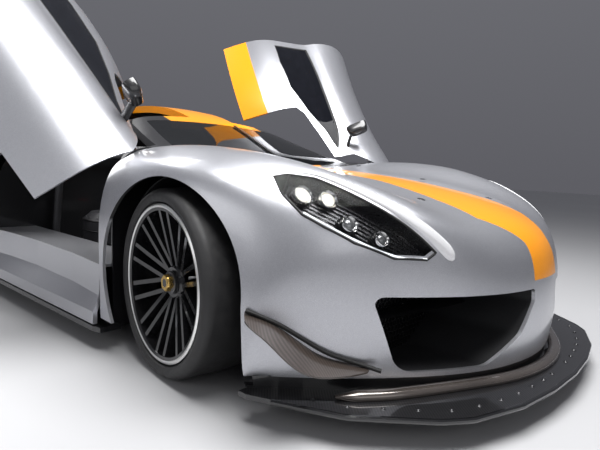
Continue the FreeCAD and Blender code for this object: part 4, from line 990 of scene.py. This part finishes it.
def store():
    """Ribs round the energy store and the studs of its lid."""
    low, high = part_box("energy_store")
    middle = (low + high) / 2
    case, studs = Shape(), Shape()
    for height, radius, thick in STORE_RIBS:
        case.ring((middle.x, middle.y, low.z + height), (0, 0, 1), radius, thick)
    case.make("store_ribs", "black_trim", "cast_alloy")
    for turn in (2 * math.pi * i / 16 for i in range(16)):
        across = Vector((math.cos(turn), math.sin(turn), 0))
        place = Vector((middle.x, middle.y, low.z + STORE_STUDS[0])) + across * STORE_STUDS[1]
        studs.screw(place, across + Vector((0, 0, 1)), 0.0055)
    studs.lathe((middle.x, middle.y, high.z - 0.001), (0, 0, 1), STORE_CAP, 40)
    studs.make("store_studs", "steel", "steel_tube")


# Faces of a pane that meet flatter than this belong to one side of it, as the cosine
PANE_SMOOTH = 0.97


def pane_edge(name, out):
    """The rim of a pane's outer face, in order, as (place, normal) pairs."""
    mesh = bmesh.new()
    mesh.from_mesh(NODES[name].data)
    bmesh.ops.remove_doubles(mesh, verts=mesh.verts, dist=1e-5)
    mesh.normal_update()
    first = max(mesh.faces, key=lambda face: face.calc_area() * max(0.0, face.normal.dot(out)) ** 4)
    outer, waiting = {first.index: first}, [first]
    while waiting:
        face = waiting.pop()
        for edge in face.edges:
            for other in edge.link_faces:
                if other.index not in outer and other.normal.dot(face.normal) > PANE_SMOOTH:
                    outer[other.index] = other
                    waiting.append(other)
    beside = {}
    for face in outer.values():
        for edge in face.edges:
            if sum(other.index in outer for other in edge.link_faces) == 1:
                for one, other in (edge.verts, reversed(edge.verts)):
                    beside.setdefault(one.index, []).append(other)
    mesh.verts.ensure_lookup_table()
    start = min(beside)
    loop, before, here = [], None, mesh.verts[start]
    while not loop or here.index != start:
        around = [face.normal for face in here.link_faces if face.index in outer]
        loop.append((here.co.copy(), sum(around, Vector()).normalized()))
        before, here = here, next(v for v in beside[here.index] if before is None or v.index != before.index)
    mesh.free()
    return loop


# Inner face of a shut door, in mm, x from the front axle: heights of the ribs, places of the pull strap with
# how far each stands off in m, and places of the latch plates
RIB_HEIGHTS = (452, 540, 628)
PULL_X = (-1180, -1240, -1300, -1360, -1420)
PULL_HEIGHT = 700
PULL_OFF = (0.001, 0.030, 0.040, 0.030, 0.001)
LATCHES = ((-1612, 560), (-1612, 470))
# The mirror's middle as (y, z), its housing from the front to its hollow back, as (x from the front axle,
# half-width, half-height), the glass in it, and the line of its foot
MIRROR_MIDDLE = (838, 872)
MIRROR = [(-625, 20, 7), (-628, 36, 14), (-634, 48, 22), (-645, 57, 28), (-662, 63, 31), (-682, 66, 32.5),
          (-693.5, 66, 32.5), (-694, 64, 31), (-693, 61, 28), (-689, 60, 27)]
MIRROR_GLASS = [(-690.5, 58, 25), (-692.5, 58, 25)]
MIRROR_FOOT = [(-638, 733, 776), (-640, 748, 796), (-652, 776, 838), (-660, 796, 862)]


def oblong(x, half_y, half_z, hand):
    """A ring with rounded corners round the mirror's middle."""
    y, z = MIRROR_MIDDLE
    turns = [2 * math.pi * k / 40 for k in range(40)]
    return [on_car(x, y + half_y * math.copysign(abs(math.cos(t)) ** 0.5, math.cos(t)),
                   z + half_z * math.copysign(abs(math.sin(t)) ** 0.5, math.sin(t)), hand) for t in turns]


def doors():
    """Window seals, inner ribs, pull straps, latches and mirrors, all on the open doors."""
    for side, hand in SIDES:
        body = "door_" + side
        swing = opened(side)
        turn = swing.to_3x3()
        cast = skin(body, "door_window_" + side)

        def inner(x, z):
            """The inner face of the open door, at a place seen from the side on the shut one."""
            return cast(swing @ on_car(x, 300, z, hand), turn @ Vector((0, hand, 0)))

        seal = pane_edge("door_window_" + side, turn @ Vector((0, hand * 0.75, 0.66)))
        edge = Shape().tube([p for p, _ in seal], 0.011, closed=True, flat=0.22, normals=[q for _, q in seal])
        edge.make("window_seal_" + side, "seal", "black_trim", body)

        ribs = Shape()
        for z in RIB_HEIGHTS:
            hits = [hit for hit in (inner(x, z) for x in range(-700, -1600, -60)) if hit]
            ribs.tube([p for p, _ in hits], 0.016, 8, flat=0.45, normals=[q for _, q in hits])
        ribs.make("door_ribs_" + side, "carbon", "carbon", body)

        ends = [inner(x, PULL_HEIGHT) for x in PULL_X]
        line = smoothed([p + q * off for (p, q), off in zip(ends, PULL_OFF)], 5)
        pull = Shape().tube(line, 0.015, 8, flat=0.10, normals=[ends[2][1]] * len(line))
        for p, q in (ends[0], ends[-1]):
            pull.screw(p + q * 0.003, q, 0.006)
        pull.make("door_pull_" + side, "webbing", "cloth", body, 60)

        latch = Shape()
        along = turn @ Vector((1, 0, 0))
        for p, q in (inner(*place) for place in LATCHES):
            latch.block(p + q * 0.010, along * 0.022, q.cross(along).normalized() * 0.028, q * 0.011, 0.2)
        latch.make("door_latch_" + side, "steel", "steel_tube", body)

        housing = Shape().grid([oblong(*size, hand) for size in MIRROR], around=True, caps=True)
        foot = smoothed([on_car(*p, hand) for p in MIRROR_FOOT], 5)
        housing.tube(foot, 0.020, 12, flat=0.38, normals=[Vector((0.1, hand, -0.5))] * len(foot))
        made = housing.turned(swing).make("mirror_housing_" + side, "carbon", "black_trim", body, 50)
        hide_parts("mirror_" + side)
        mirror = Shape().grid([oblong(*size, hand) for size in MIRROR_GLASS], around=True, caps=True)
        mirror.turned(swing).make("mirror_glass_" + side, "mirror", "clear_glass", body)


# The tail: heights of the light bars and their reach across, an outlet as (y, z), the rain light's height,
# its dots' places and profile, the exhausts' (y, z), the wing lip's section and its screws as (x, z), and the
# filler's (x, y) and profile
BAR_HEIGHTS = (0.6485, 0.6570, 0.6655)
BAR_REACH = range(448, 842, 18)
TAIL_OUTLET = [(0.480, 0.600), (0.790, 0.580), (0.770, 0.400), (0.460, 0.400)]
RAIN_LIGHT = 0.50
DOTS = [(y / 1000, z / 1000) for y in (-40, -20, 0, 20, 40) for z in (-10, 10)]
DOT = [(0, 0.0075), (0.0015, 0.0072), (0.003, 0.004), (0.0034, 0.0005)]
EXHAUST = (0.130, 0.290)
WING_LIP = [(-2.3105, 1.128), (-2.3125, 1.150), (-2.3085, 1.150), (-2.3070, 1.130)]
WING_SCREWS = [(-2.06, 1.104), (-2.14, 1.102), (-2.22, 1.110)]
FILLER = (-0.60, 0.80)
FILLER_CAP = [(-0.003, 0.058), (0.002, 0.058), (0.004, 0.054), (0.004, 0.046), (0.001, 0.045), (0.001, 0.036),
              (0.007, 0.034), (0.009, 0.028), (0.009, 0.0005)]


def tail():
    """Light bars, outlet mesh, rain light, exhaust rims, the wing's lip and screws, and the filler cap."""
    def from_behind(cast, y, z):
        return cast((-3, y, z), (1, 0, 0))

    lamp, outlet, panel = skin("tail_lamps"), skin("outlet_meshes"), skin("rear_clam")

    for side, hand in SIDES:
        def lay(y, z, back):
            hit = from_behind(outlet, hand * y, z)
            return hit[0] + Vector((back, 0, 0)) if hit else None

        bars, mesh = Shape(), Shape()
        for z in BAR_HEIGHTS:
            hits = [from_behind(lamp, hand * y / 1000, z) for y in BAR_REACH]
            bars.tube([hit[0] + hit[1] * 0.0010 for hit in hits if hit], 0.0026, 8)
        bars.make("tail_bars_" + side, "lit_red", "red_lens")
        honeycomb(mesh, TAIL_OUTLET, 0.022, 0.0045, 0.005, lay)
        mesh.make("outlet_mesh_" + side, "mesh", "black_trim")
    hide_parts("outlet_meshes")

    spot = from_behind(panel, 0, RAIN_LIGHT)[0]
    light, dots = Shape(), Shape()
    light.block(spot - Vector((0.006, 0, 0)), (0, 0.060, 0), (0, 0, 0.030), (0.010, 0, 0), 0.12)
    for y, z in DOTS:
        dots.lathe(spot + Vector((-0.0155, y, z)), (-1, 0, 0), DOT, 16)
    light.make("rain_light", "black_trim", "black_trim")
    dots.make("rain_light_dots", "lit_red", "red_lens")

    rims, bolts = Shape(), Shape()
    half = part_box("rear_wing")[1].y
    for hand in (-1, 1):
        rims.ring((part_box("exhausts")[0].x, hand * EXHAUST[0], EXHAUST[1]), (1, 0, 0), 0.0445, 0.0042)
        for x, z in WING_SCREWS:
            bolts.screw((x, hand * (half - 0.0005), z), (0, hand, 0), 0.006)
    rims.make("exhaust_rims", "chrome", "steel_tube")
    rows = [[(x, share * (half - 0.009), z) for x, z in WING_LIP] for share in (-1, -0.5, 0, 0.5, 1)]
    Shape().grid(rows, around=True, caps=True).make("wing_lip", "carbon", "carbon")
    bolts.make("wing_screws", "steel", "steel_tube")
    Shape().lathe(*below(panel, *FILLER), FILLER_CAP, 48).make("filler_cap", "steel", "steel_tube")


# Studs of the bonnet and the tail as (x from the front axle in mm, y in m), with their profile
STUDS = {"front": [(-352, 0.12), (-352, 0.36), (-352, 0.60), (-352, 0.80), (150, 0.46), (560, 0.30)],
         "rear": [(-1700, 0.52), (-1700, 0.74), (-2000, 0.46), (-2560, 0.44), (-3100, 0.44), (-3280, 0.34),
                  (-3280, 0.62)]}
STUD = [(-0.001, 0.0145), (0.0008, 0.0145), (0.0014, 0.0135), (0.0014, 0.0105), (0.0006, 0.0100),
        (0.0006, 0.0005)]


def fasteners():
    """Quarter-turn studs along the panels' edges."""
    for name, places in STUDS.items():
        cast = skin(name + "_clam")
        studs = Shape()
        for x, y in places:
            for _, hand in SIDES:
                hit = below(cast, FRONT_AXLE + x / 1000, hand * y)
                if hit and hit[1].z > 0.5:
                    place, normal = hit
                    along = normal.orthogonal().normalized()
                    studs.lathe(place, normal, STUD, 24)
                    studs.block(place + normal * 0.0009, along * 0.0085, normal.cross(along) * 0.0014,
                                normal * 0.0008)
        studs.make("panel_studs_" + name, "steel", "steel_tube")


# Soft lights as (name, place, target, width, height, power)
LIGHTS = [("overhead", (1.9, -0.4, 4.2), (1.6, -0.4, 0.0), 3.2, 2.6, 330),
          ("behind", (-3.4, -0.6, 4.2), (-2.0, -0.4, 0.0), 3.0, 2.6, 150),
          ("front", (6.8, -2.4, 2.8), (1.6, -0.5, 0.4), 5.0, 3.0, 40),
          ("right", (0.6, -6.5, 3.0), (0.4, -0.5, 0.5), 5.0, 2.0, 40),
          ("rear", (-6.5, 0.6, 2.6), (-1.5, 0, 0.6), 4.0, 1.6, 60)]
HORIZON = (0.15, 0.15, 0.17)
SKY = (0.24, 0.245, 0.27)


def studio():
    """Pale floor, grey surroundings and soft lights."""
    scene = bpy.context.scene
    scene.view_settings.view_transform = "Standard"
    bpy.ops.mesh.primitive_plane_add(size=80.0, location=(0, 0, -0.001))
    floor = bpy.context.object
    floor.name = "floor"
    n = surface("studio_floor")
    tone = n.mix(n.noise(0.4), (0.46, 0.46, 0.47), (0.52, 0.52, 0.53))
    floor.data.materials.append(n.set(Base_Color=tone, Roughness=0.5))
    scene.world = bpy.data.worlds.new("studio")
    n = Nodes(scene.world, "Background")
    rise = n.ramp(n.xyz(n.place("Generated"))[2], 0.0, 0.7)
    n.set(Color=n.mix(rise, HORIZON, SKY), Strength=0.75)
    for name, where, target, wide, tall, power in LIGHTS:
        data = bpy.data.lights.new(name, "AREA")
        data.shape = "RECTANGLE"
        data.size, data.size_y, data.energy = wide, tall, power
        lamp = bpy.data.objects.new(name, data)
        lamp.location = where
        lamp.rotation_euler = (Vector(target) - Vector(where)).to_track_quat("-Z", "Y").to_euler()
        scene.collection.objects.link(lamp)


def photo_camera():
    """The photograph's viewpoint: a heading, a pitch and a roll about the view line."""
    data = bpy.data.cameras.new("photo_camera")
    data.lens = LENS
    data.sensor_width = 36.0
    data.clip_end = 200.0
    camera = bpy.data.objects.new("photo_camera", data)
    level = math.cos(CAMERA_PITCH)
    ahead = Vector((level * math.cos(CAMERA_YAW), level * math.sin(CAMERA_YAW), math.sin(CAMERA_PITCH)))
    right = ahead.cross(Vector((0, 0, 1))).normalized()
    above = right.cross(ahead)
    turned_right = right * math.cos(CAMERA_ROLL) + above * math.sin(CAMERA_ROLL)
    turned_above = above * math.cos(CAMERA_ROLL) - right * math.sin(CAMERA_ROLL)
    turn = Matrix((turned_right, turned_above, -ahead)).transposed()
    camera.matrix_world = Matrix.Translation(CAMERA_FROM_AXLE + Vector((FRONT_AXLE, 0, 0))) @ turn.to_4x4()
    bpy.context.scene.collection.objects.link(camera)
    bpy.context.scene.camera = camera


LOOKS = {
    "carbon": carbon("carbon"),
    "warm_carbon": carbon("warm_carbon", (0.050, 0.039, 0.033), (0.085, 0.066, 0.056), 0.0022),
    "black_gloss": plain("black_gloss", (0.008, 0.008, 0.009), 0.16, coat=1.0, depth=0.03),
    # Brownish grey of clear-coated carbon, lightened further as a painted highlight on the splitter bead
    "bead_painted_highlight": plain("bead_painted_highlight", (0.17, 0.145, 0.13), 0.16, 0.6, coat=1.0, depth=0.03),
    "black_trim": plain("black_trim", (0.012, 0.012, 0.013), 0.35),
    "seal": plain("seal_rubber", (0.008, 0.008, 0.008), 0.6, grain=500.0),
    "satin_grey": plain("satin_grey", (0.05, 0.05, 0.055), 0.28, 0.6),
    "chrome": plain("bright_metal", (0.80, 0.80, 0.80), 0.10, 1.0, depth=0.02),
    "steel": plain("screw_steel", (0.16, 0.16, 0.165), 0.32, 1.0),
    "cast_alloy": plain("cast_alloy", (0.36, 0.36, 0.37), 0.45, 0.9),
    "gold": plain("gold_anodised", (0.78, 0.52, 0.16), 0.28, 1.0, other=(0.66, 0.43, 0.13), depth=0.08),
    "lit_cream": glowing("lit_cream", (1.0, 0.97, 0.86), 0.9),
    "lit_white": glowing("lit_white", (0.90, 0.94, 1.0), 0.35),
    "lit_red": glowing("lit_red", (0.9, 0.015, 0.008), 1.2),
    "lamp_glass": plain("lamp_glass", (0.30, 0.31, 0.32), 0.08, 0.6, coat=1.0, depth=0.02),
    "screen": plain("screen_glass", (0.006, 0.010, 0.014), 0.08, coat=1.0, depth=0.02),
    "red": plain("red_anodised", (0.55, 0.010, 0.008), 0.32, 0.5),
    "button": plain("button_plastic", (0.60, 0.42, 0.03), 0.4),
    "webbing": woven("webbing", (0.030, 0.030, 0.034), 0.0030),
    "seat_cloth": woven("seat_cloth", (0.026, 0.026, 0.030)),
    "mirror": plain("mirror_glass", (0.75, 0.76, 0.77), 0.03, 1.0, depth=0.0),
    "mesh": plain("mesh_wire", (0.014, 0.014, 0.015), 0.4, 0.3),
    "crest_painted_highlight": crest_highlight_paint(),
    "suede": woven("suede", (0.022, 0.022, 0.025)),
}

dress_frame()
lamps()
nose()
wheels()
seat()
helm()
cockpit()
store()
doors()
tail()
fasteners()
studio()
photo_camera()
